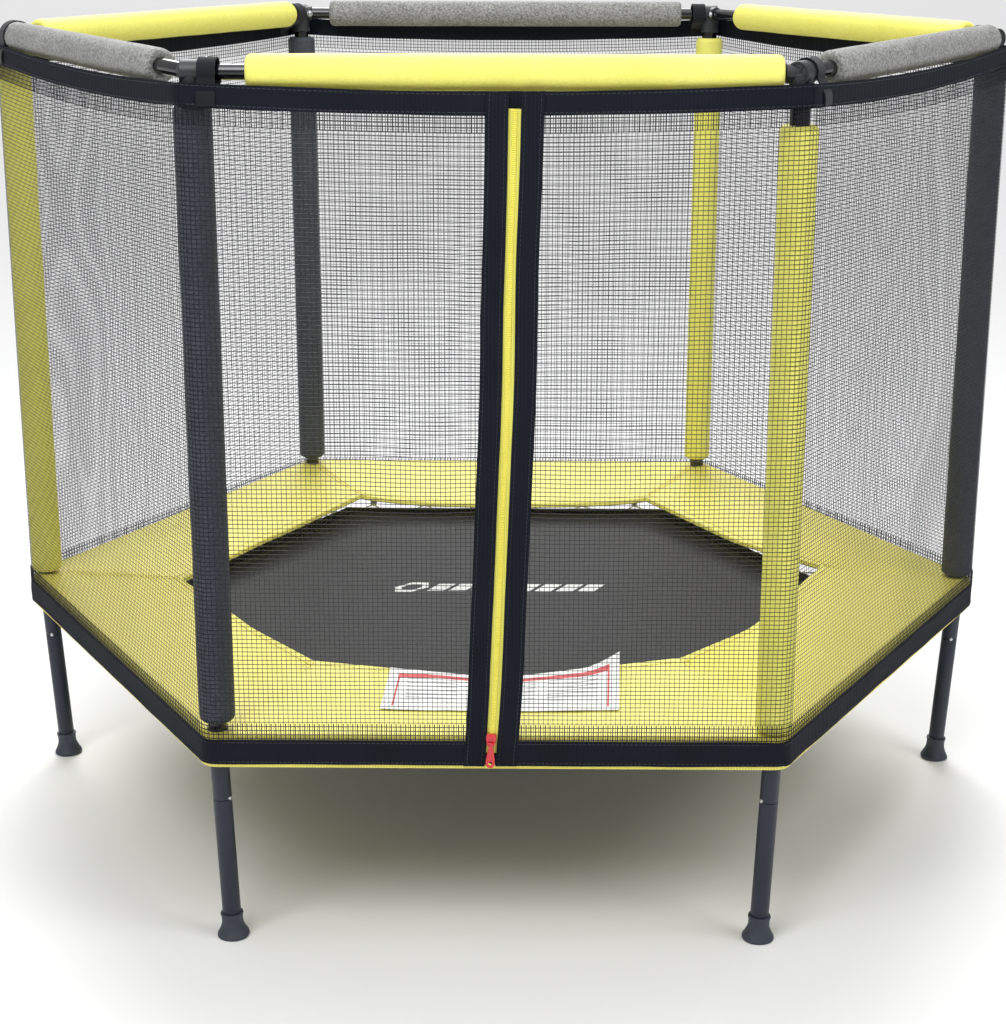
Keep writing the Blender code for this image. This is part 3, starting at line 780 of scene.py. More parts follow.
for side in range(SIDES):
    outward = about_z((side + 0.5) * TURN)
    spots = []
    rings = []
    for spring_index in range(SPRINGS_A_SIDE):
        share = (spring_index + 0.5) / SPRINGS_A_SIDE
        across = (share - 0.5) * MAT_RADIUS
        middle = (HOOK_START + HOOK_END) / 2
        spots.append(outward @ Vector((middle, across, SPRING_HEIGHT)))
        triangle = [
            (MAT_APOTHEM - 0.004, across - RING_HALF, SPRING_HEIGHT),
            (MAT_APOTHEM + 0.003, across - RING_HALF, SPRING_HEIGHT),
            (HOOK_START + 0.003, across, SPRING_HEIGHT),
            (MAT_APOTHEM + 0.003, across + RING_HALF, SPRING_HEIGHT),
            (MAT_APOTHEM - 0.004, across + RING_HALF, SPRING_HEIGHT),
        ]
        rings.append([outward @ Vector(point) for point in rounded(triangle, 0.003, 3)])
    reach = (HOOK_END - HOOK_START - COIL_LENGTH) / 2 - 2 * HOOK_RADIUS + 0.004
    coils = grown(
        f"springs_side_{side + 1}",
        guide_mesh([[spot] for spot in spots]),
        spring_tree,
        {
            "Coil length": COIL_LENGTH,
            "Coil radius": COIL_RADIUS,
            "Turns": float(COIL_TURNS),
            "Wire": WIRE_RADIUS,
            "Hook radius": HOOK_RADIUS,
            "Shank": reach,
            "Facing": (side + 0.5) * TURN,
            "Material": zinc_plate,
        },
    )
    start = outward @ Vector((HOOK_END, 0, SPRING_HEIGHT))
    end = outward @ Vector((HOOK_START, 0, SPRING_HEIGHT))
    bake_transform(coils)
    vees = grown(
        f"mat_rings_side_{side + 1}",
        guide_mesh(rings, closed=True),
        wire_tree,
        {"Radius": RING_WIRE, "Sides": 8, "Material": zinc_plate},
    )
    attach(vees, "mat")

# ---- spring cover ----------------------------------------------------------------
# A foam ring in yellow vinyl-coated cloth lies over the springs, with a skirt down its
# outside. Its inner corners have curled up, and it is seamed at each corner.
low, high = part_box("spring_pad")
PAD_BOTTOM = 0.2752
PAD_INNER = 0.4287  # apothem of the opening
UNDERSIDE = PAD_BOTTOM + 0.0005
SKIRT_LEVELS = (0.272, 0.262, low[2])
NET_APOTHEM = APOTHEM + 0.0236  # the net's own layer, outside the padded poles
NET_ROUND = 0.0236  # how the net rounds each pole
SKIRT_APOTHEM = NET_APOTHEM - 0.0020
SKIRT_THICKNESS = 0.0016
CORNER_LIFT = (0.0190, 0.0030, 0.0060, -0.0080, 0.0215, 0.0285)
EDGE_LIFT = 0.0150  # how far the springs hold the inner edge up off its foam
BACK_DROOP = 0.0105  # but its back edge hangs down between the corners
OUTER_RISE = 0.0060  # how far its outer edge stands above its resting height
BACK_RISE = 0.016  # and how much more of that there is toward the back
PAD_EDGE = 0.0080
PAD_PUFF = 0.0040
PAD_NOSE = 0.004  # how far the rounded inner edge stands out


def round_hexagon(apothem, corner_round, straight=30, arc=5):
    """(point, outward) pairs round a hexagon with rounded corners, from corner 0 on."""
    reach = (apothem - corner_round) / math.cos(TURN / 2)
    stations = []
    for side in range(SIDES):
        start = about_z(side * TURN) @ Vector((reach, 0, 0))
        end = about_z((side + 1) * TURN) @ Vector((reach, 0, 0))
        facing = (side + 0.5) * TURN
        for step in range(arc):
            angle = facing - TURN / 2 * (1 - step / arc)
            out = Vector((math.cos(angle), math.sin(angle), 0))
            stations.append((start + out * corner_round, out))
        out = Vector((math.cos(facing), math.sin(facing), 0))
        for step in range(straight + 1):
            spot = start.lerp(end, step / straight)
            stations.append((spot + out * corner_round, out))
        for step in range(1, arc):
            angle = facing + TURN / 2 * step / arc
            out = Vector((math.cos(angle), math.sin(angle), 0))
            stations.append((end + out * corner_round, out))
    return stations


def edge_lift(point):
    """How far the cover's inner edge is held or curled up, in that point's direction."""
    turns = math.atan2(point.y, point.x) / TURN % SIDES
    corner = int(turns + 0.5) % SIDES
    away = abs(turns - round(turns))
    behind = 1 < turns < 2
    curl = CORNER_LIFT[corner] * max(0.0, 1 - away / (0.22 if behind else 0.45)) ** 1.15
    droop = BACK_DROOP * math.sin(math.pi * (turns - 1)) ** 0.4 if behind else 0.0
    return EDGE_LIFT - droop + curl


def cover_top(share, point):
    """Height of the cover's top: share runs from 0 at its inner edge to 1 at its outer."""
    outer = PAD_TOP - PAD_BOTTOM - 0.001 + max(0.0, OUTER_RISE + BACK_RISE * point.y)
    swell = PAD_EDGE + (outer - PAD_EDGE) * share + PAD_PUFF * math.sin(math.pi * share)
    swell += edge_lift(point) * (1 - share) ** 1.6
    turns = math.atan2(point.y, point.x) / TURN
    off_seam = abs(turns - round(turns)) * point.length
    swell -= 0.0035 * math.exp(-((off_seam / 0.010) ** 2)) * math.sin(math.pi * share)
    crease = noise.noise(point * 9.0 + Vector((3.1, 0, 0)))
    pucker = noise.noise(point * 26.0 + Vector((0, 7.7, 0)))
    swell += (0.0022 * crease + 0.0009 * pucker) * math.sin(math.pi * share) ** 0.5
    return PAD_BOTTOM + swell


inner_ring = round_hexagon(PAD_INNER, 0.010)
outer_ring = round_hexagon(SKIRT_APOTHEM, NET_ROUND - 0.002)
ACROSS = 18
EDGE_TURN = 0.010  # how tightly the cover turns down into its skirt
bm = bmesh.new()
loops = []
for (inner, _), (outer, out) in zip(inner_ring, outer_ring):
    lift = edge_lift(inner)
    edge = outer - out * EDGE_TURN
    section = []
    for step in range(ACROSS + 1):
        share = step / ACROSS
        spot = inner.lerp(edge, share)
        spot.z = cover_top(share, spot)
        section.append(spot)
    shoulder = section[-1].z - EDGE_TURN
    for step in range(1, 6):
        angle = step / 5 * math.pi / 2
        spot = edge + out * EDGE_TURN * math.sin(angle)
        spot.z = shoulder + EDGE_TURN * math.cos(angle)
        section.append(spot)
    section += [Vector((outer.x, outer.y, height)) for height in SKIRT_LEVELS]
    back = outer - out * SKIRT_THICKNESS
    section += [Vector((back.x, back.y, height)) for height in (*SKIRT_LEVELS[::-1], UNDERSIDE)]
    for step in range(10):
        share = 1 - step / 9
        spot = inner.lerp(edge, share)
        spot.z = UNDERSIDE + lift * (1 - share) ** 2.2
        section.append(spot)
    for step in range(1, 6):
        angle = math.pi * step / 6
        spot = inner - (edge - inner).normalized() * PAD_NOSE * math.sin(angle)
        spot.z = PAD_BOTTOM + lift + PAD_EDGE * (1 - math.cos(angle)) / 2
        section.append(spot)
    loops.append(section)
skinned(bm, loops, ring=True)

# Vinyl-coated polyester: lemon yellow, semi-gloss, a fine weave showing through.
cover_vinyl, _ = woven(
    "vinyl_coated_cloth", "#FBEE6C", "#FFF77E", 0.0018, 0.00006, 0.45, 0.0, 0.3
)
cover = made("spring_cover", bm, cover_vinyl, 60)
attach(cover, "root")
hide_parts("spring_pad")

# A bound edge runs round the opening, and one sewn seam crosses each corner.
BINDING_RADIUS = 0.0022
COVER_STITCH = (0.006, 0.0042, 0.00045)  # pitch, length and thread radius
STITCH_RISE = 0.0003
edge_line = []
for inner, out in inner_ring:
    spot = inner - out * PAD_NOSE * 0.6
    spot.z = PAD_BOTTOM + 0.0020 + edge_lift(inner)
    edge_line.append(spot)
binding = grown(
    "cover_binding",
    guide_mesh([edge_line], closed=True),
    wire_tree,
    {"Radius": BINDING_RADIUS, "Sides": 12, "Material": cover_vinyl},
)
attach(binding, "root")
yellow_thread, _ = finish("yellow_thread", "#C9B420", "#DCC830", 0.5, 0.0006, 0.00003)
seams = []
for corner in range(SIDES):
    for offset in (-0.004, 0.004):
        inner = about_z(corner * TURN) @ Vector((PAD_INNER / math.cos(TURN / 2), offset, 0))
        outer = about_z(corner * TURN) @ Vector((CORNER_RADIUS - 0.02, offset, 0))
        line = []
        for step in range(21):
            share = step / 20 * 0.9 + 0.02
            spot = inner.lerp(outer, share)
            spot.z = cover_top(share, spot) + STITCH_RISE
            line.append(spot)
        seams.append(line)
hem_line = []
for (inner, _), (outer, out) in zip(inner_ring, outer_ring):
    share = 0.045
    spot = inner.lerp(outer - out * EDGE_TURN, share)
    spot.z = cover_top(share, spot) + STITCH_RISE
    hem_line.append(spot)
cover_seams = sewn("cover_seam_stitches", seams, yellow_thread, *COVER_STITCH)
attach(cover_seams, "root")
cover_hem = sewn("cover_edge_stitches", [hem_line], yellow_thread, *COVER_STITCH, True)
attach(cover_hem, "root")

# A coated-cloth care label is tacked along the front of the opening. It carries only a
# plain red frame and grey bars, and its free corner has curled.
LABEL_LEFT = -0.149
LABEL_RIGHT = 0.158
LABEL_DEPTH = 0.122
LABEL_THICKNESS = 0.0004
LABEL_CLEAR = 0.0006  # how far it lies above the cover
LABEL_STEPS = (48, 18)


def label_point(across, down, lift):
    """A place on the label: across and down run from 0 to 1 over it."""
    spread = LABEL_LEFT + 0.006 * (1 - down) + (LABEL_RIGHT - LABEL_LEFT) * across
    spot = Vector((spread, -PAD_INNER - 0.002 - LABEL_DEPTH * down, 0))
    curl = max(0.0, across - 0.84) / 0.16 * max(0.0, 1 - down / 0.5)
    ruffle = 0.0012 * (1 + noise.noise(Vector((across * 7, down * 3, 2.0))))
    spot.y += 0.012 * curl
    share = (-spot.y - PAD_INNER) / (SKIRT_APOTHEM - EDGE_TURN - PAD_INNER)
    laid = cover_top(min(1.0, max(0.0, share)), spot) + LABEL_CLEAR
    spot.z = laid + ruffle + 0.013 * curl**1.5 + lift
    return spot


# Coated label cloth: chalk white with a red printed frame and pale grey bars.
label_cloth, label = finish("printed_label_cloth", "#ECECEC", "#F8F8F6", 0.55, 0.001, 0.00003)
tree = label_cloth.node_tree
uv = add_node(tree, "ShaderNodeUVMap", {"uv_map": "print"})
split = add_node(tree, "ShaderNodeSeparateXYZ", inputs={"Vector": uv.outputs["UV"]})


def printed_box(wide, middle, half, tall, centre, reach):
    """1 inside a box of the print and 0 outside: wide and tall are what it is measured in."""
    sides = []
    for source, aim, span in ((wide, middle, half), (tall, centre, reach)):
        inputs = {0: source, 1: aim, 2: span}
        near = add_node(tree, "ShaderNodeMath", {"operation": "COMPARE"}, inputs)
        sides.append(near.outputs[0])
    inputs = dict(enumerate(sides))
    return add_node(tree, "ShaderNodeMath", {"operation": "MULTIPLY"}, inputs).outputs[0]


across, down = split.outputs["X"], split.outputs["Y"]
inside = printed_box(across, 0.5, 0.457, down, 0.49, 0.41)
core = printed_box(across, 0.5, 0.449, down, 0.40, 0.40)
red_frame = add_node(tree, "ShaderNodeMath", {"operation": "SUBTRACT"}, {0: inside, 1: core})
repeats = []
for source, count in ((down, 11.0), (across, 3.0)):
    times = add_node(tree, "ShaderNodeMath", {"operation": "MULTIPLY"}, {0: source, 1: count})
    part = add_node(tree, "ShaderNodeMath", {"operation": "FRACT"}, {0: times.outputs[0]})
    repeats.append(part.outputs[0])
bar = printed_box(repeats[0], 0.5, 0.16, repeats[1], 0.5, 0.42)
block = printed_box(down, 0.55, 0.32, across, 0.5, 0.41)
bars = add_node(tree, "ShaderNodeMath", {"operation": "MULTIPLY"}, {0: bar, 1: block})
greyed = add_node(
    tree,
    "ShaderNodeMix",
    {"data_type": "RGBA"},
    {"Factor": bars.outputs[0], "A": label["shade"].outputs["Result"], "B": linear("#B4B4B8")},
)
printed = add_node(
    tree,
    "ShaderNodeMix",
    {"data_type": "RGBA"},
    {"Factor": red_frame.outputs[0], "A": greyed.outputs["Result"], "B": linear("#D8353B")},
)
tree.links.new(printed.outputs["Result"], label["shader"].inputs["Base Color"])

bm = bmesh.new()
prints = bm.loops.layers.uv.new("print")
wide, deep = LABEL_STEPS
layers = []
for lift in (0.0, LABEL_THICKNESS):
    rows = []
    for row in range(deep + 1):
        spots = [label_point(column / wide, row / deep, lift) for column in range(wide + 1)]
        rows.append([bm.verts.new(spot) for spot in spots])
    layers.append(rows)
for rows in layers:
    for row in range(deep):
        for column in range(wide):
            below = row + 1
            corners = [(row, column), (row, column + 1), (below, column + 1), (below, column)]
            face = bm.faces.new([rows[r][c] for r, c in corners])
            for loop, (r, c) in zip(face.loops, corners):
                loop[prints].uv = (c / wide, 1 - r / deep)
rim = [(0, c) for c in range(wide)] + [(r, wide) for r in range(deep)]
rim += [(deep, c) for c in range(wide, 0, -1)] + [(r, 0) for r in range(deep, 0, -1)]
for (r0, c0), (r1, c1) in zip(rim, rim[1:] + rim[:1]):
    bm.faces.new([layers[0][r0][c0], layers[0][r1][c1], layers[1][r1][c1], layers[1][r0][c0]])
care_label = made("care_label", bm, label_cloth, 60)
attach(care_label, "root")

# ---- poles -----------------------------------------------------------------------
# Gloss black steel tubes, swaged at the foot to drop into the posts of the frame.
low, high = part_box("spring_pad")
POLE_FOOT = high[2] + 2 * GAP
low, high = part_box("pole_1")
POLE_HEAD = high[2]
low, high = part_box("pole_foam_1")
POLE_FOAM_RADIUS = (high[0] - low[0]) / 2

# Gloss black enamel on steel: deep black with a sharp highlight under a clear skin.
gloss_enamel, enamel = finish("gloss_black_enamel", "#0B0B0F", "#121218", 0.16, 0.004, 0.00004)
enamel["shader"].inputs["Coat Weight"].default_value = 0.5
enamel["shader"].inputs["Coat Roughness"].default_value = 0.06

for index in range(SIDES):
    bm = bmesh.new()
    corner = about_z(index * TURN) @ at(CORNER_RADIUS, 0, 0)
    rod(bm, TUBE_RADIUS, POLE_FOOT, POLE_HEAD, corner, 0.0008, 48)
    pole = made(f"pole_tube_{index + 1}", bm, gloss_enamel)
    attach(pole, "root")
    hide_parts(f"pole_{index + 1}")

# ---- foam sleeves ----------------------------------------------------------------
# Closed-cell polyethylene foam tubes, slid over the poles and the top rails. They are
# dark grey or yellow on the poles and yellow or speckled grey on the rails.
CELL = 0.0021  # width of the foam's skin cells, a little coarser than life
FOAM_EASE = 0.0075  # how far the cut ends have rounded over


def foam(name, dark, light, speck, roughness):
    """Closed-cell foam: a skin of small cells, each a slightly different shade."""
    material, parts = finish(name, dark, light, roughness, 0.006, 0.0004, drift=0.05)
    tree = material.node_tree
    cells = add_node(
        tree, "ShaderNodeTexVoronoi", inputs={"Vector": parts["place"], "Scale": 1 / CELL}
    )
    shade = add_node(
        tree,
        "ShaderNodeMapRange",
        inputs={"Value": cells.outputs["Color"], "To Min": 1 - speck, "To Max": 1 + speck},
    )
    tone = add_node(
        tree,
        "ShaderNodeMix",
        {"data_type": "RGBA", "blend_type": "MULTIPLY"},
        {"Factor": 1.0, "A": parts["shade"].outputs["Result"], "B": shade.outputs["Result"]},
    )
    dimples = add_node(
        tree,
        "ShaderNodeBump",
        inputs={
            "Strength": 0.7,
            "Distance": 0.0003,
            "Height": cells.outputs["Distance"],
            "Normal": parts["bump"].outputs["Normal"],
        },
    )
    tree.links.new(tone.outputs["Result"], parts["shader"].inputs["Base Color"])
    tree.links.new(dimples.outputs["Normal"], parts["shader"].inputs["Normal"])
    parts["shader"].inputs["Sheen Weight"].default_value = 0.05
    parts["shader"].inputs["Specular IOR Level"].default_value = 0.25
    return material


# Polyethylene foam: waxy and matt; the grey is speckled and the yellow nearly even.
yellow_foam = foam("yellow_pe_foam", "#F1EC6C", "#FAF686", 0.05, 0.55)
dark_foam = foam("dark_pe_foam", "#3B3E46", "#4B4F59", 0.35, 0.62)
grey_foam = foam("grey_pe_foam", "#7C7C7B", "#979795", 0.55, 0.60)


def foam_sleeve(bm, outer, inner, length, place, seed, steps=44):
    """Adds a soft tube along Z, its ends rounded over and its skin a little uneven."""
    stations = [0.0, 0.25, 0.5, 0.75, 1.0]
    ends = [FOAM_EASE * (1 - math.cos(part * math.pi / 2)) for part in stations]
    middle = [length * part / 40 for part in range(1, 40)]
    heights = ends + [z for z in middle if FOAM_EASE < z < length - FOAM_EASE]
    heights += [length - z for z in reversed(ends)]
    loops = []
    for height in heights:
        depth = min(height, length - height, FOAM_EASE)
        round_off = math.sqrt(max(0.0, 1 - (1 - depth / FOAM_EASE) ** 2))
        reach = outer - FOAM_EASE * 0.75 * (1 - round_off)
        loop = []
        for step in range(steps):
            angle = 2 * math.pi * step / steps
            spot = Vector((math.cos(angle), math.sin(angle), height * 9.0 + seed))
            wobble = 0.00045 * noise.noise(spot * 1.3) + 0.0002 * noise.noise(spot * 4.0)
            radius = reach + wobble
            point = Vector((radius * math.cos(angle), radius * math.sin(angle), height))
            loop.append(place @ point)
        loops.append(loop)
    for height in (length - 0.002, 0.002):
        loop = []
        for step in range(steps):
            angle = 2 * math.pi * step / steps
            point = Vector((inner * math.cos(angle), inner * math.sin(angle), height))
            loop.append(place @ point)
        loops.append(loop)
    skinned(bm, loops, ring=True)


for index in range(SIDES):
    low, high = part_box(f"pole_foam_{index + 1}")
    bm = bmesh.new()
    place = about_z(index * TURN) @ at(CORNER_RADIUS, 0, low[2])
    inner = TUBE_RADIUS + GAP
    foam_sleeve(bm, POLE_FOAM_RADIUS, inner, high[2] - low[2], place, index * 5.3)
    colour = (dark_foam, yellow_foam)[index % 2]
    sleeve = made(f"pole_sleeve_{index + 1}", bm, colour, 60)
    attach(sleeve, "root")
    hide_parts(f"pole_foam_{index + 1}")

# ---- top rails -------------------------------------------------------------------
# Thinner gloss black tubes join the corners, each inside its own foam sleeve, which
# leaves the tube bare near the corners.
low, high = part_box("top_rail_2")
RAIL_RADIUS = (high[2] - low[2]) / 2
RAIL_HEIGHT = (high[2] + low[2]) / 2
RAIL_START = CORNER_RADIUS / 2 - high[0]
RAIL_END = CORNER_RADIUS / 2 - low[0]
low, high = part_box("rail_foam_2")
RAIL_FOAM_RADIUS = (high[2] - low[2]) / 2


def corner_place(index):
    """The middle of a corner connector: where the axes of its pole and rails meet."""
    return about_z(index * TURN) @ at(CORNER_RADIUS, 0, RAIL_HEIGHT)


foam_start = []
for index in range(SIDES):
    bm = bmesh.new()
    way = corner_place(index) @ along(NEXT_WAY)
    rod(bm, RAIL_RADIUS, RAIL_START, RAIL_END, way, 0.0008, 48)
    rail = made(f"rail_tube_{index + 1}", bm, gloss_enamel)
    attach(rail, "root")
    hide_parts(f"top_rail_{index + 1}")

    low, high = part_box(f"rail_foam_{index + 1}")
    middle = (Vector(low) + Vector(high)) / 2
    run = way.to_3x3() @ Vector((0, 0, 1))
    extent = Vector(high) - Vector(low)
    if abs(run.x) > abs(run.y):
        length = (extent.x - 2 * RAIL_FOAM_RADIUS * abs(run.y)) / abs(run.x)
    else:
        length = (extent.y - 2 * RAIL_FOAM_RADIUS * abs(run.x)) / abs(run.y)
    start = (way.inverted() @ middle).z - length / 2
    foam_start.append(start)
    bm = bmesh.new()
    place = way @ at(0, 0, start)
    inner = RAIL_RADIUS + GAP
    foam_sleeve(bm, RAIL_FOAM_RADIUS, inner, length, place, 40 + index * 7.1)
    colour = (yellow_foam, grey_foam)[index % 2]
    sleeve = made(f"rail_sleeve_{index + 1}", bm, colour, 60)
    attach(sleeve, "root")
    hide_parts(f"rail_foam_{index + 1}")

# ---- corner connectors -----------------------------------------------------------
# Injection-moulded nylon corners: a hub down over the pole, a sleeve round one rail with
# a collar and a bolt boss, and a spigot into the rail before it, held by two screws.
SLEEVE_RADIUS = 0.0145
SLEEVE_BACK = 0.012
SLEEVE_FRONT = 0.015
COLLAR_RADIUS = 0.0132
COLLAR_LENGTH = 0.007
COLLAR_END = SLEEVE_FRONT + COLLAR_LENGTH
HUB_RADIUS = 0.0141
HUB_DROP = 0.030
ARM_RADIUS = 0.0118  # the shoulder round the spigot, before it enters the rail
SCREW_RADIUS = 0.0034
BOSS_TOP = 0.0155  # how far the bolt boss stands from the rail's axis

# Moulded nylon: near-black grey, faintly pebbled, with a soft even shine.
moulded_nylon, _ = finish("moulded_nylon", "#24272B", "#2E3236", 0.42, 0.0014, 0.00012)


def screw(bm, place, radius):
    """Adds a pan-head screw standing on Z with a crossed driving recess."""
    head = [
        (0, 0.42 * radius),
        (0.30 * radius, 0.42 * radius),
        (0.34 * radius, 0.62 * radius),
        (0.62 * radius, 0.58 * radius),
        (0.88 * radius, 0.40 * radius),
        (radius, 0.10 * radius),
        (radius, -0.3 * radius),
        (0, -0.3 * radius),
    ]
    turned(bm, head, place, 24)
    washer = [
        (0, 0.06 * radius),
        (1.45 * radius, 0.06 * radius),
        (1.5 * radius, 0),
        (1.5 * radius, -0.3 * radius),
        (0, -0.3 * radius),
    ]
    turned(bm, washer, place @ at(0, 0, -0.05 * radius), 24)


for index in range(SIDES):
    centre = corner_place(index)
    way = centre @ along(NEXT_WAY)
    back = centre @ along(-NEXT_WAY)
    bm = bmesh.new()
    profile = rounded(
        [
            (0, COLLAR_END),
            (RAIL_RADIUS + GAP, COLLAR_END),
            (COLLAR_RADIUS, COLLAR_END),
            (COLLAR_RADIUS, SLEEVE_FRONT),
            (SLEEVE_RADIUS, SLEEVE_FRONT),
            (SLEEVE_RADIUS, -SLEEVE_BACK),
            (SLEEVE_RADIUS - 0.003, -SLEEVE_BACK),
            (SLEEVE_RADIUS - 0.003, 0.0015 - SLEEVE_BACK),
            (0, 0.0015 - SLEEVE_BACK),
        ],
        0.0012,
        3,
    )
    turned(bm, profile, way, 48)
    hub = rounded([(0, 0), (HUB_RADIUS, 0), (HUB_RADIUS, -HUB_DROP), (0, -HUB_DROP)], 0.001, 3)
    turned(bm, hub, centre, 48)
    rod(bm, HUB_RADIUS + 0.0009, -HUB_DROP, -HUB_DROP + 0.004, centre, 0.001, 48)
    arm_end = SIDE_LENGTH - RAIL_END - GAP
    arm = rounded([(0, arm_end), (ARM_RADIUS, arm_end), (ARM_RADIUS, 0), (0, 0)], 0.001, 3)
    turned(bm, arm, back, 40)
    upward = Matrix.Rotation(-math.pi / 2, 4, "Y")
    bolt = way @ at(0, 0, SLEEVE_FRONT + COLLAR_LENGTH / 2) @ upward
    boss = [(0, BOSS_TOP), (0.0042, BOSS_TOP), (0.0052, 0.010), (0, 0.010)]
    turned(bm, rounded(boss, 0.0006, 2), bolt, 20)
    for rib in range(6):
        swing = about_z(rib * TURN + TURN / 2)
        block = bmesh.ops.create_cube(bm, size=1.0)["verts"]
        shape = (
            way
            @ swing
            @ at(SLEEVE_RADIUS * 0.5, 0, 0.0006 - SLEEVE_BACK)
            @ Matrix.Diagonal((SLEEVE_RADIUS * 0.62, 0.0011, 0.0018, 1))
        )
        bmesh.ops.transform(bm, matrix=shape, verts=block)
    connector = made(f"corner_moulding_{index + 1}", bm, moulded_nylon, 40)
    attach(connector, "root")
    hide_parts(f"corner_connector_{index + 1}")

    bm = bmesh.new()
    outside = Matrix.Rotation(math.pi / 2, 4, "Y")
    screw(bm, centre @ at(HUB_RADIUS, 0, -0.019) @ outside, SCREW_RADIUS)
    low_arm = back @ at(0, 0, 0.0165) @ about_z(-math.pi / 2) @ outside
    screw(bm, low_arm @ at(0, 0, ARM_RADIUS), SCREW_RADIUS)
    screw(bm, bolt @ at(0, 0, BOSS_TOP), SCREW_RADIUS * 0.8)
    screws = made(f"corner_screws_{index + 1}", bm, zinc_plate)
    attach(screws, "root")

# ---- enclosure net ---------------------------------------------------------------
# Knitted polyester net hangs outside the padded poles: thick yarns run round it and
# thinner ones up it. Its top and bottom are folded back into a hem of double mesh.
ROW_PITCH = 0.0055
COLUMN_PITCH = 0.0060
YARN_RADIUS = 0.00047
COLUMN_SHARE = 0.66  # the upright yarns are this much thinner
NET_LOW = 0.262
NET_HIGH = 1.094
NET_SAG = 0.010  # how far the top edge droops between the poles
BAND_TOP = 1.0988
BAND_TOP_LOW = 1.0715
BAND_BOTTOM_HIGH = 0.290
BAND_BOTTOM = 0.258
HEM_TOP_LOW = 1.0505
HEM_BOTTOM_HIGH = 0.313
ARC_LENGTH = NET_ROUND * TURN / 2
PANEL_LENGTH = SIDE_LENGTH + 2 * ARC_LENGTH
FRONT_SIDE = 4
ZIP_FOOT_X = -0.006
ZIP_HEAD_X = 0.022
ZIP_BOTTOM = 0.266
ZIP_TOP = 1.0695
ZIP_WIDTH = 0.0156
ZIP_BOW = 0.0040
ZIP_SLOPE = (ZIP_HEAD_X - ZIP_FOOT_X) / (ZIP_TOP - ZIP_BOTTOM)


def zip_bow(height):
    """How far the slack zip bows aside from a straight line at a height."""
    up = min(1.0, max(0.0, (height - ZIP_BOTTOM) / (ZIP_TOP - ZIP_BOTTOM)))
    flutter = 0.0006 * math.sin(14 * up) * up * (1 - up) * 4
    return ZIP_BOW * math.sin(math.pi * up**0.7) + flutter


def zip_x(height):
    """Where the middle of the zip is at a height."""
    return ZIP_FOOT_X + (height - ZIP_BOTTOM) * ZIP_SLOPE + zip_bow(height)


def net_point(side, distance, height, out=0.0, loose=1.0):
    """A place on the net, that far along its side, with the droop and ripple it hangs in."""
    facing = (side + 0.5) * TURN
    angle = facing
    base = about_z(side * TURN) @ Vector((CORNER_RADIUS, 0, 0))
    way = Vector((-math.sin(facing), math.cos(facing), 0))
    if distance < ARC_LENGTH:
        angle = facing - (ARC_LENGTH - distance) / NET_ROUND
        step = 0.0
    elif distance > ARC_LENGTH + SIDE_LENGTH:
        angle = facing + (distance - ARC_LENGTH - SIDE_LENGTH) / NET_ROUND
        step = SIDE_LENGTH
    else:
        step = distance - ARC_LENGTH
    normal = Vector((math.cos(angle), math.sin(angle), 0))
    share = distance / PANEL_LENGTH
    droop = NET_SAG * 4 * share * (1 - share)
    up = max(0.0, (height - NET_LOW) / (NET_HIGH - NET_LOW))
    free = math.sin(math.pi * min(1.0, max(0.0, up))) * math.sin(math.pi * share)
    seed = Vector((side * 11.7, distance * 7.0, height * 5.0))
    ripple = 0.0042 * noise.noise(seed) * free * loose
    wave = 0.0030 * noise.noise(seed * 1.7 + Vector((0, 5.0, 0))) * free * loose
    spot = base + way * step + normal * (NET_ROUND + out + ripple)
    spot.z = height - droop * up**2 + wave
    return spot


def along_side(start, end, pieces=22):
    """Distances along a side from start to end, close together where it rounds a pole."""
    marks = [start]
    marks += [ARC_LENGTH * part / 3 for part in range(1, 4)]
    marks += [ARC_LENGTH + SIDE_LENGTH * part / pieces for part in range(1, pieces)]
    marks += [ARC_LENGTH + SIDE_LENGTH + ARC_LENGTH * part / 3 for part in range(3)]
    inner = [mark for mark in marks if start + 0.001 < mark < end - 0.001]
    return [start, *inner, end]


def side_limits(side, part, height):
    """How far along its side a net panel starts and ends at a height."""
    seam = ARC_LENGTH + CORNER_RADIUS / 2 + zip_x(height)
    start, end = 0.0, PANEL_LENGTH
    if part == "left":
        end = seam - 0.012
    elif part == "right":
        start = seam + 0.012
    return start, end


def net_lines(side, part, low, high, row_offset, column_offset, out, shares):
    """Rows and columns of yarn between two heights, and the weight of each."""
    row_share, column_share = shares
    lines, weights = [], []
    rows = int((high - low) / ROW_PITCH) + 1
    for row in range(rows):
        height = low + (row + row_offset) * ROW_PITCH
        if height > high:
            continue
        start, end = side_limits(side, part, height)
        lines.append([net_point(side, d, height, out) for d in along_side(start, end)])
        weights.append(row_share)
    columns = int(PANEL_LENGTH / COLUMN_PITCH)
    for column in range(columns + 1):
        distance = (column + 0.5 * (PANEL_LENGTH / COLUMN_PITCH - columns) + column_offset)
        distance *= COLUMN_PITCH
        steps = max(2, int((high - low) / 0.034))
        heights = [low + (high - low) * step / steps for step in range(steps + 1)]
        kept = []
        for height in heights:
            start, end = side_limits(side, part, height)
            if start <= distance <= end:
                kept.append(height)
        if len(kept) > 1:
            lines.append([net_point(side, distance, height, out) for height in kept])
            weights.append(column_share)
    return lines, weights


# Net yarn: solution-dyed polyester, blue-black, with the slight glint of a filament yarn.
net_yarn, yarn = finish("polyester_net_yarn", "#0E0F16", "#1B1D29", 0.38, 0.0008, 0.00008)
yarn["shader"].inputs["Specular IOR Level"].default_value = 0.3

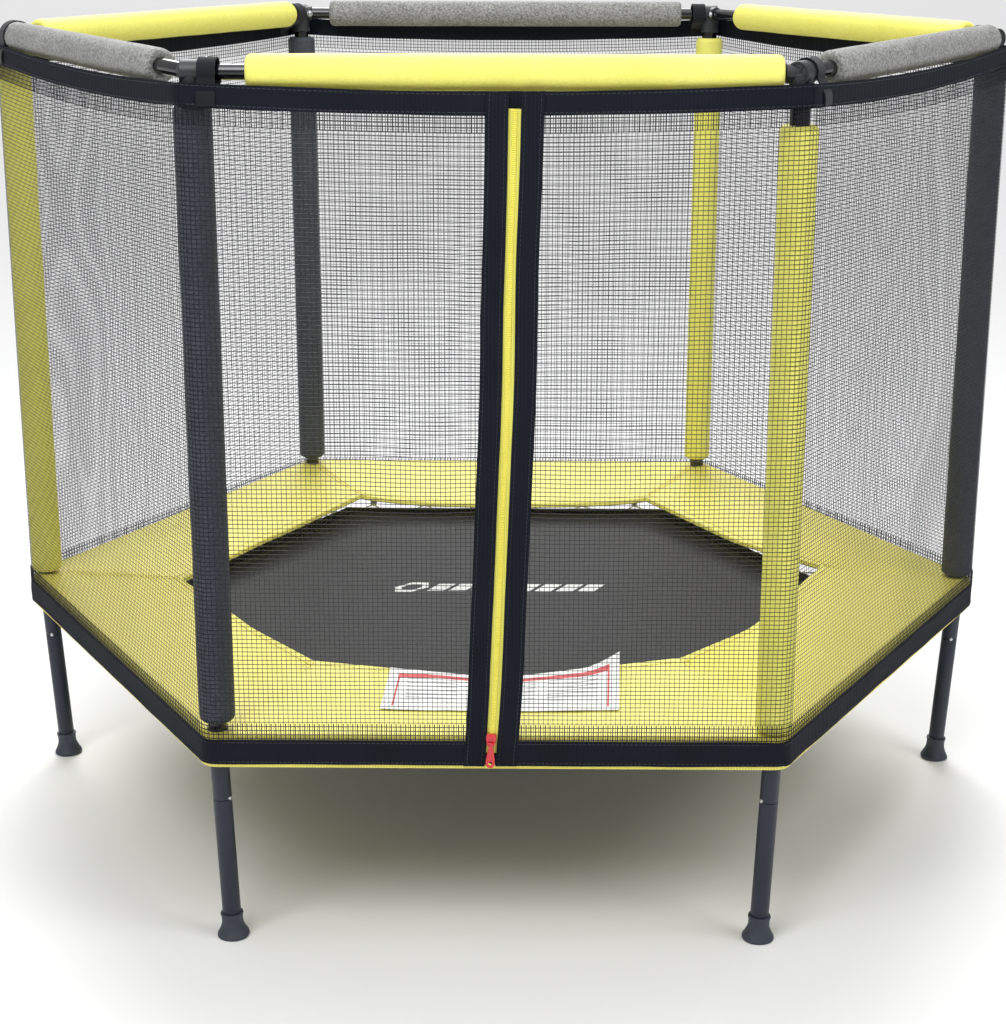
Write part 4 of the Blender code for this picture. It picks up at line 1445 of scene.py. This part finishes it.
NET_PARTS = (
    (0, "", "net_right_back"),
    (1, "", "net_back"),
    (2, "", "net_left_back"),
    (3, "", "net_left_front"),
    (4, "left", "net_front_left"),
    (4, "right", "net_front_right"),
    (5, "", "net_right_front"),
)
BAND_THICKNESS = 0.0022
BAND_STITCH = (0.0058, 0.0040, 0.00038)  # pitch, length and thread radius


def ribbon_loop(centres, across, out, thickness):
    """Points round one station of a flat band: its outer face, then back up its inner."""
    half = thickness / 2
    outer = [spot + out * half for spot in centres]
    inner = [spot - out * half for spot in reversed(centres)]
    lead = across * half * 0.6 * 0.5
    outer[0], outer[-1] = outer[0] - lead, outer[-1] + lead
    inner[0], inner[-1] = inner[0] + lead, inner[-1] - lead
    return outer + inner


def spread_from_zip(distance, height):
    """How far a place along the front side is from the middle of the zip."""
    return distance - ARC_LENGTH - CORNER_RADIUS / 2 - zip_x(height)


def level_band(bm, side, part, low, high, out, gather, seed):
    """Adds a level webbing band along one side of the net, gathered near its corners."""
    start, end = side_limits(side, part, (low + high) / 2)
    if part:
        reach = 0.016 if part == "left" else -0.016
        start, end = (start, end + reach) if part == "left" else (start + reach, end)
    marks = along_side(start, end, 60)
    loops = []
    for distance in marks:
        near = min(distance, PANEL_LENGTH - distance)
        bunch = 1 + 2.2 * math.exp(-((near / 0.035) ** 2)) * gather
        centres = []
        for step in range(6):
            share = step / 5
            height = low + (high - low) * share
            place = Vector((distance * 16 + seed, share * 1.5, side * 9.1))
            fold = 0.0009 * bunch * noise.noise(place)
            edge = 0.0008 * bunch * noise.noise(place * 0.7 + Vector((0, 0, 4.0)))
            behind = 0.0
            if part:
                behind = 0.0034 * math.exp(-((spread_from_zip(distance, height) / 0.011) ** 4))
            spot = net_point(side, distance, height + edge, out + fold - behind, 0.0)
            centres.append(spot)
        on_net = net_point(side, distance, low, 0.0, 0.0)
        facing = (net_point(side, distance, low, 0.01, 0.0) - on_net).normalized()
        loops.append(ribbon_loop(centres, Vector((0, 0, 1)), facing, BAND_THICKNESS))
    skinned(bm, loops)


dark_thread, _ = finish("dark_thread", "#22242D", "#30333E", 0.5, 0.0006, 0.00003)
net_pieces = {}
for side, part, node in NET_PARTS:
    lines, weights = net_lines(side, part, NET_LOW, NET_HIGH, 0.5, 0.0, 0.0, (1, COLUMN_SHARE))
    values = {"Radius": YARN_RADIUS, "Sides": 4, "Material": net_yarn}
    panel = grown(f"{node}_mesh", guide_mesh(lines, weights=weights), wire_tree, values, False)
    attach(panel, "root")
    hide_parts(node)

    with_panel = []
    for name, low, high, shares in (
        ("top_hem", HEM_TOP_LOW, BAND_TOP_LOW + 0.004, (0.85, 1.15)),
        ("bottom_hem", BAND_BOTTOM_HIGH - 0.004, HEM_BOTTOM_HIGH, (0.8, 1.35)),
    ):
        lines, weights = net_lines(side, part, low, high, 0.15, 0.42, 0.0011, shares)
        hem = grown(
            f"{node}_{name}", guide_mesh(lines, weights=weights), wire_tree, values, False
        )
        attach(hem, "root")
        with_panel.append(hem)
    for name, low, high, gather in (
        ("top_band", BAND_TOP_LOW, BAND_TOP, 1.0),
        ("bottom_band", BAND_BOTTOM, BAND_BOTTOM_HIGH, 0.4),
    ):
        bm = bmesh.new()
        level_band(bm, side, part, low, high, 0.0002, gather, low * 10)
        band = made(f"{node}_{name}", bm, webbing_cloth, 50)
        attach(band, "root")
        with_panel.append(band)
        start, end = side_limits(side, part, (low + high) / 2)
        seams = []
        for height in (low + 0.003, high - 0.003):
            marks = along_side(start, end, 40)
            seams.append([net_point(side, d, height, 0.0015, 0.0) for d in marks])
        stitches = sewn(f"{node}_{name}_stitches", seams, dark_thread, *BAND_STITCH)
        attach(stitches, "root")
        with_panel.append(stitches)
    net_pieces[node] = (panel, with_panel)

# The flat area of each panel's rows of yarn, with the holes left out, is worked out here, but
# nothing uses it. Never less than the smallest share of its outline that a sheet may have.
for side, part, node in NET_PARTS:
    panel, with_panel = net_pieces[node]
    start, end = side_limits(side, part, (NET_LOW + NET_HIGH) / 2)
    width, tall = end - start, NET_HIGH - NET_LOW
    rows = 2 * YARN_RADIUS * width * tall / ROW_PITCH

# ---- zip -------------------------------------------------------------------------
# The way in: a yellow nylon coil zip between two black webbing bands, closed by a red
# enamelled slider that rests at the bottom with its pull hanging down.
ZIP_LEAN = math.atan(ZIP_SLOPE)
ZIP_BAND_WIDTH = 0.0262
ZIP_BAND_OUT = 0.0016
ZIP_LAP = 0.0006  # how far each band laps over the tape
ZIP_STITCH_OUT = 0.00105
ZIP_STITCH = (0.0055, 0.0038, 0.0004)  # pitch, length and thread radius
NET_OUTER = APOTHEM + POLE_FOAM_RADIUS + GAP + 0.0016
COIL_RISE = 0.0014
ZIP_FRONT = -NET_OUTER - COIL_RISE
COIL_PITCH = 0.0021
COIL_WIDTH = 0.0052
COIL_FULLNESS = 0.46  # the wire's radius as a share of the pitch
TAPE_FOOT = 0.009  # the tape stops this far up, above the bottom band
zip_place = at(ZIP_FOOT_X, ZIP_FRONT, ZIP_BOTTOM) @ Matrix.Rotation(ZIP_LEAN, 4, "Y")
ZIP_LENGTH = (ZIP_TOP - ZIP_BOTTOM) / math.cos(ZIP_LEAN)


def zip_band_point(way, height, spread, out):
    """A place on a zip band, that far to the side and that far out from its rippled back."""
    ripple = 0.0011 * noise.noise(Vector((spread * 20, height * 9 + 3 * way, 1.0)))
    sway = 0.0012 * noise.noise(Vector((height * 6, way * 3.0, 0)))
    distance = ARC_LENGTH + CORNER_RADIUS / 2 + spread + sway
    return net_point(FRONT_SIDE, distance, height, ZIP_BAND_OUT + ripple + out, 0.0)


for name, way in (("left", -1), ("right", 1)):
    bm = bmesh.new()
    loops = []
    steps = 90
    for step in range(steps + 1):
        height = BAND_BOTTOM - 0.0006 + (BAND_TOP + 0.0012 - BAND_BOTTOM) * step / steps
        inner = zip_x(height) + way * (ZIP_WIDTH / 2 - ZIP_LAP)
        outer = inner + way * ZIP_BAND_WIDTH
        low_x, high_x = min(inner, outer), max(inner, outer)
        centres = []
        for mark in range(7):
            spread = low_x + (high_x - low_x) * (mark / 6)
            lip = 0.0008 * (1 - abs(spread - inner) / ZIP_BAND_WIDTH) ** 6
            centres.append(zip_band_point(way, height, spread, lip))
        loops.append(ribbon_loop(centres, Vector((1, 0, 0)), Vector((0, -1, 0)), 0.0019))
    skinned(bm, loops)
    band = made(f"zip_band_{name}", bm, webbing_cloth, 50)
    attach(band, "root")
    seams = []
    for inset in (0.004, ZIP_BAND_WIDTH - 0.004):
        line = []
        for step in range(60):
            height = BAND_BOTTOM + 0.004 + (BAND_TOP - BAND_BOTTOM - 0.008) * step / 59
            spread = zip_x(height) + way * (ZIP_WIDTH / 2 - ZIP_LAP + inset)
            line.append(zip_band_point(way, height, spread, ZIP_STITCH_OUT))
        seams.append(line)
    stitches = sewn(f"zip_band_{name}_stitches", seams, dark_thread, *ZIP_STITCH)
    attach(stitches, "root")

# Zip tape: yellow twill polyester; the coil is yellow nylon monofilament.
zip_tape, _ = woven("zip_tape_twill", "#FAF468", "#FFFA80", 0.0013, 0.0002, 0.6, 0.05)
coil_nylon, _ = finish("coil_nylon", "#F0E452", "#FAF068", 0.35, 0.0008, 0.00004)

bm = bmesh.new()
for way in (-1, 1):
    loops = []
    for step in range(61):
        up = TAPE_FOOT + (ZIP_LENGTH - TAPE_FOOT) * step / 60
        spread = 0.0035 * math.exp(-(((up - TAPE_FOOT) / 0.014) ** 2))
        low_x, high_x = sorted((way * (0.0004 + spread), way * (ZIP_WIDTH / 2 + spread)))
        centres = []
        for mark in range(5):
            x = low_x + (high_x - low_x) * mark / 4
            rise = 0.0003 * noise.noise(Vector((x * 60, up * 25, way)))
            x += zip_bow(ZIP_BOTTOM + up)
            centres.append(zip_place @ Vector((x, COIL_RISE + 0.0009 + rise, up)))
        loops.append(ribbon_loop(centres, Vector((1, 0, 0)), Vector((0, -1, 0)), 0.0010))
    skinned(bm, loops)
tape = made("zip_tape", bm, zip_tape, 50)
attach(tape, "root")
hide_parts("zip_chain")

# Coil: short loops of monofilament side by side, all the way up the tape.
coil_tree = laid_tree("zip_coil", 8, (0, math.pi / 2 + ZIP_LEAN, 0))
coil_line = []
for step in range(61):
    up = TAPE_FOOT + (ZIP_LENGTH - TAPE_FOOT - 0.002) * step / 60
    coil_line.append(zip_place @ Vector((zip_bow(ZIP_BOTTOM + up), 0.0008, up)))
values = {"Pitch": COIL_PITCH, "Length": COIL_WIDTH, "Radius": COIL_PITCH * COIL_FULLNESS}
values["Material"] = coil_nylon
coil = grown("zip_coil", guide_mesh([coil_line]), coil_tree, values)
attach(coil, "root")

# The slider and its pull: zinc castings in bright red enamel. The pull's barrel turns
# between two lugs on the slider's face.
SLIDER_REST = 0.019
SLIDER_LENGTH = 0.017
SLIDER_WIDTH = 0.013
SLIDER_FACE = COIL_RISE - GAP - 0.0052
PULL_WIDTH = 0.0098
PULL_LENGTH = 0.032
PULL_THICKNESS = 0.0016
LUG_MIDDLE = 0.0050
LUG_RADIUS = 0.0024
LUG_HALF = 0.0008
LUG_APART = PULL_WIDTH / 2 - LUG_HALF
slider_place = zip_place @ at(0, 0, SLIDER_REST)
pull_place = slider_place @ at(0, SLIDER_FACE - 0.0036 / 2 - GAP, LUG_MIDDLE)

# Red enamel over a zinc casting: warm pillar-box red with a hard gloss.
red_enamel, enamel = finish("red_enamel", "#C8222B", "#DE2F38", 0.28, 0.002, 0.00005)
enamel["shader"].inputs["Coat Weight"].default_value = 0.4
enamel["shader"].inputs["Coat Roughness"].default_value = 0.1


def plate(bm, outline, back, front, place, ease=0.0006):
    """Adds a flat plate with that outline of (x, z) points and its edges rounded over."""
    middle = Vector((sum(x for x, _ in outline), sum(z for _, z in outline))) / len(outline)
    loops = []
    for depth, inset in (
        (back, ease),
        (back - ease * 0.3, ease * 0.3),
        (back - ease, 0),
        (front + ease, 0),
        (front + ease * 0.3, ease * 0.3),
        (front, ease),
    ):
        loop = []
        for x, z in outline:
            flat = Vector((x, z)) - middle
            flat *= max(0.0, 1 - inset / max(flat.length, 1e-6))
            flat += middle
            loop.append(place @ Vector((flat.x, depth, flat.y)))
        loops.append(loop)
    skinned(bm, loops)


def mirrored(points):
    """An outline from its right-hand points, run up that side and back down the left."""
    return [*points, *[(-x, z) for x, z in reversed(points)]]


bm = bmesh.new()
half = SLIDER_WIDTH / 2
right_side = rounded(
    [
        (0.0004, 0.0),
        (half - 0.0026, 0.0),
        (half - 0.0010, 0.0050),
        (half, 0.0110),
        (half - 0.0006, SLIDER_LENGTH),
        (0.0004, SLIDER_LENGTH),
    ],
    0.0022,
    4,
)
plate(bm, mirrored([tuple(p) for p in right_side]), 0.0, SLIDER_FACE, slider_place, 0.0009)
for way in (-1, 1):
    inward, outward = way * (half - 0.0018), way * half * 0.98
    top = SLIDER_LENGTH - 0.001
    side_rail = [(inward, 0.001), (outward, 0.006), (outward, top), (inward, top)]
    plate(bm, side_rail, SLIDER_FACE + 0.0045, 0.0, slider_place, 0.0004)
    lug = slider_place @ at(way * LUG_APART, SLIDER_FACE - 0.0014, LUG_MIDDLE)
    lug = lug @ Matrix.Rotation(math.pi / 2, 4, "Y")
    rod(bm, LUG_RADIUS, -LUG_HALF, LUG_HALF, lug, 0.0003, 20)
bridge = []
for step in range(13):
    angle = math.pi * step / 12
    up = SLIDER_LENGTH - 0.0024 - 0.0036 * (1 - math.cos(angle)) / 2 - 0.001
    bridge.append((0.0, SLIDER_FACE + 0.0004 - 0.0016 * math.sin(angle), up))
loops = []
for spot in bridge:
    loop = []
    for step in range(8):
        angle = 2 * math.pi * step / 8
        around = Vector((0.0022 * math.cos(angle), 0.0006 * math.sin(angle), 0))
        loop.append(slider_place @ (Vector(spot) + around))
    loops.append(loop)
skinned(bm, loops)
slider = made("slider_body", bm, red_enamel, 45)
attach(slider, "slider")
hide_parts("zip_slider")

bm = bmesh.new()
between = PULL_WIDTH / 2 - 0.0016 - GAP
barrel = pull_place @ Matrix.Rotation(math.pi / 2, 4, "Y")
rod(bm, 0.0015, -between, between, barrel, 0.0003, 20)
tab_half = PULL_WIDTH / 2
hole = 0.0026
hole_up = -PULL_LENGTH + 0.0056
outer = [
    (0.0022, 0.0004),
    (between, -0.0022),
    (between, -0.0046),
    (tab_half - 0.0012, -0.0092),
    (tab_half + 0.0006, -0.0200),
    (tab_half + 0.0010, -PULL_LENGTH + 0.0034),
    (tab_half - 0.0022, -PULL_LENGTH),
]
outline = mirrored([tuple(p) for p in rounded(outer, 0.0012, 3)])
ring_out = []
ring_in = []
count = len(outline)
for index, (x, z) in enumerate(outline):
    angle = 2 * math.pi * index / count
    toward = Vector((x, z - hole_up)).normalized() * hole
    ring_out.append((x, z))
    ring_in.append((toward.x, hole_up + toward.y))
loops = []
half_depth = PULL_THICKNESS / 2
ease = 0.0004
for ring, inset, depth in (
    (ring_out, 0, half_depth - ease),
    (ring_out, ease, half_depth),
    (ring_in, -ease, half_depth),
    (ring_in, 0, half_depth - ease),
    (ring_in, 0, ease - half_depth),
    (ring_in, -ease, -half_depth),
    (ring_out, ease, -half_depth),
    (ring_out, 0, ease - half_depth),
):
    loop = []
    for x, z in ring:
        flat = Vector((x, z - hole_up))
        flat *= 1 - inset / max(flat.length, 1e-6)
        loop.append(pull_place @ Vector((flat.x, depth, flat.y + hole_up)))
    loops.append(loop)
skinned(bm, loops, ring=True)
pull = made("pull_tab", bm, red_enamel, 45)
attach(pull, "pull")
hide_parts("zip_pull")

# ---- corner straps ---------------------------------------------------------------
# Black hook-and-loop straps hang the net: each is sewn to the top band and wraps over
# the rail beside a corner.
STRAP_START = 0.010  # along the rail from its corner
STRAP_WIDTH = 0.021
STRAP_THICKNESS = 0.0016
STRAP_RADIUS = 0.0152  # its inside, where it clears the connector's sleeve
STRAP_TAIL = 0.0365  # from the rail's axis down to the end of the tails
BAND_OUT = NET_APOTHEM - APOTHEM

# Hook-and-loop tape: matt black nylon pile that catches a little light at its edges.
pile_tape, _ = woven("nylon_pile_tape", "#0E0F14", "#1B1E27", 0.0014, 0.0003, 0.85, 0.15)

for index in range(SIDES):
    radius = STRAP_RADIUS
    if foam_start[index] < STRAP_START + STRAP_WIDTH:
        radius = RAIL_FOAM_RADIUS
    radius += STRAP_THICKNESS / 2 + 0.0004
    outside = BAND_OUT + 0.0030
    inside = BAND_OUT - 0.0026
    path = [(outside, -STRAP_TAIL), (outside, -0.024)]
    for step in range(25):
        angle = math.radians(-20 + 275 * step / 24)
        path.append((radius * math.cos(angle), radius * math.sin(angle)))
    path += [(inside, -0.026), (inside, -STRAP_TAIL)]
    path = rounded(path, 0.004, 3)
    facing = about_z((index + 0.5) * TURN)
    marks = (-1, -0.5, 0, 0.5, 1)
    around = [(mark, 1) for mark in marks] + [(mark, -1) for mark in reversed(marks)]
    loops = []
    for step, spot in enumerate(path):
        before = path[max(0, step - 1)]
        after = path[min(len(path) - 1, step + 1)]
        run = after - before
        normal = Vector((run.y, -run.x)).normalized() * STRAP_THICKNESS / 2
        points = []
        for share, side in around:
            fray = 0.0007 * noise.noise(Vector((step * 0.3, share, index * 3.1)))
            slant = 0.0016 * math.sin(step / len(path) * 5 + index)
            level = spot + normal * side
            base = facing @ Vector((APOTHEM + level.x, 0, RAIL_HEIGHT + level.y))
            middle = STRAP_START + STRAP_WIDTH / 2 - SIDE_LENGTH / 2
            tangent = facing @ Vector((0, 1, 0))
            points.append(base + tangent * (middle + share * STRAP_WIDTH / 2 + slant + fray))
        loops.append(points)
    bm = bmesh.new()
    skinned(bm, loops)
    strap = made(f"corner_strap_{index + 1}", bm, pile_tape, 55)
    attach(strap, "root")

# ---- floor, light and camera -----------------------------------------------------
# A plain pale floor under soft overhead studio light.
FLOOR_RADIUS = 80.0
FLOOR_HEIGHT = -0.0005  # just under the feet
bm = bmesh.new()
bmesh.ops.create_circle(bm, cap_ends=True, radius=FLOOR_RADIUS, segments=96)
floor_mesh = bpy.data.meshes.new("studio_floor")
bm.to_mesh(floor_mesh)
bm.free()
floor_paint, _ = finish("pale_floor_paint", "#EFEFF0", "#F4F4F4", 0.85, 0.02, 0.0, drift=4.0)
floor_mesh.materials.append(floor_paint)
studio_floor = added("studio_floor", floor_mesh)
studio_floor.location.z = FLOOR_HEIGHT

world = bpy.data.worlds.new("studio")
world.use_nodes = True
sky = world.node_tree.nodes["Background"]
sky.inputs["Color"].default_value = (1.0, 1.0, 1.0, 1.0)
sky.inputs["Strength"].default_value = 0.38
bpy.context.scene.world = world
bpy.context.scene.view_settings.view_transform = "Standard"


def soft_light(name, place, target, size, power):
    """A large square studio light, aimed at a point."""
    light = bpy.data.lights.new(name, "AREA")
    light.size = size
    light.energy = power
    lamp = added(name, light)
    lamp.location = place
    aim = Vector(target) - Vector(place)
    lamp.rotation_euler = aim.to_track_quat("-Z", "Y").to_euler()


soft_light("overhead_light", (0, 0.2, 3.4), (0, 0, 0.3), 3.0, 40)
soft_light("front_light", (-1.4, -2.9, 3.8), (0, 0, 0.6), 2.2, 92)
soft_light("side_light", (2.6, -1.9, 3.2), (0, 0, 0.6), 1.8, 42)

# A broad bank of light high behind the object throws its soft shadow forward.
SUN_ANGLE = math.radians(36)
bank = bpy.data.lights.new("bank_light", "SUN")
bank.energy = 2.15
bank.angle = SUN_ANGLE
bank_object = added("bank_light", bank)
bank_object.rotation_euler = Vector((0.10, -1.15, -1.0)).to_track_quat("-Z", "Y").to_euler()

CAMERA_PLACE = (0.0316, -3.0056, 1.3039)
CAMERA_PITCH = 0.2921
CAMERA_YAW = -0.0094
CAMERA_ROLL = 0.0019
CAMERA_LENS = 72.25
camera = bpy.data.cameras.new("camera")
camera.lens = CAMERA_LENS
camera.sensor_width = 36
camera.clip_end = 300
camera_object = added("camera", camera)
tilt = Matrix.Rotation(math.pi / 2 - CAMERA_PITCH, 4, "X")
heading = Matrix.Rotation(-CAMERA_YAW, 4, "Z")
camera_object.matrix_world = (
    at(*CAMERA_PLACE) @ heading @ tilt @ Matrix.Rotation(CAMERA_ROLL, 4, "Z")
)
bpy.context.scene.camera = camera_object
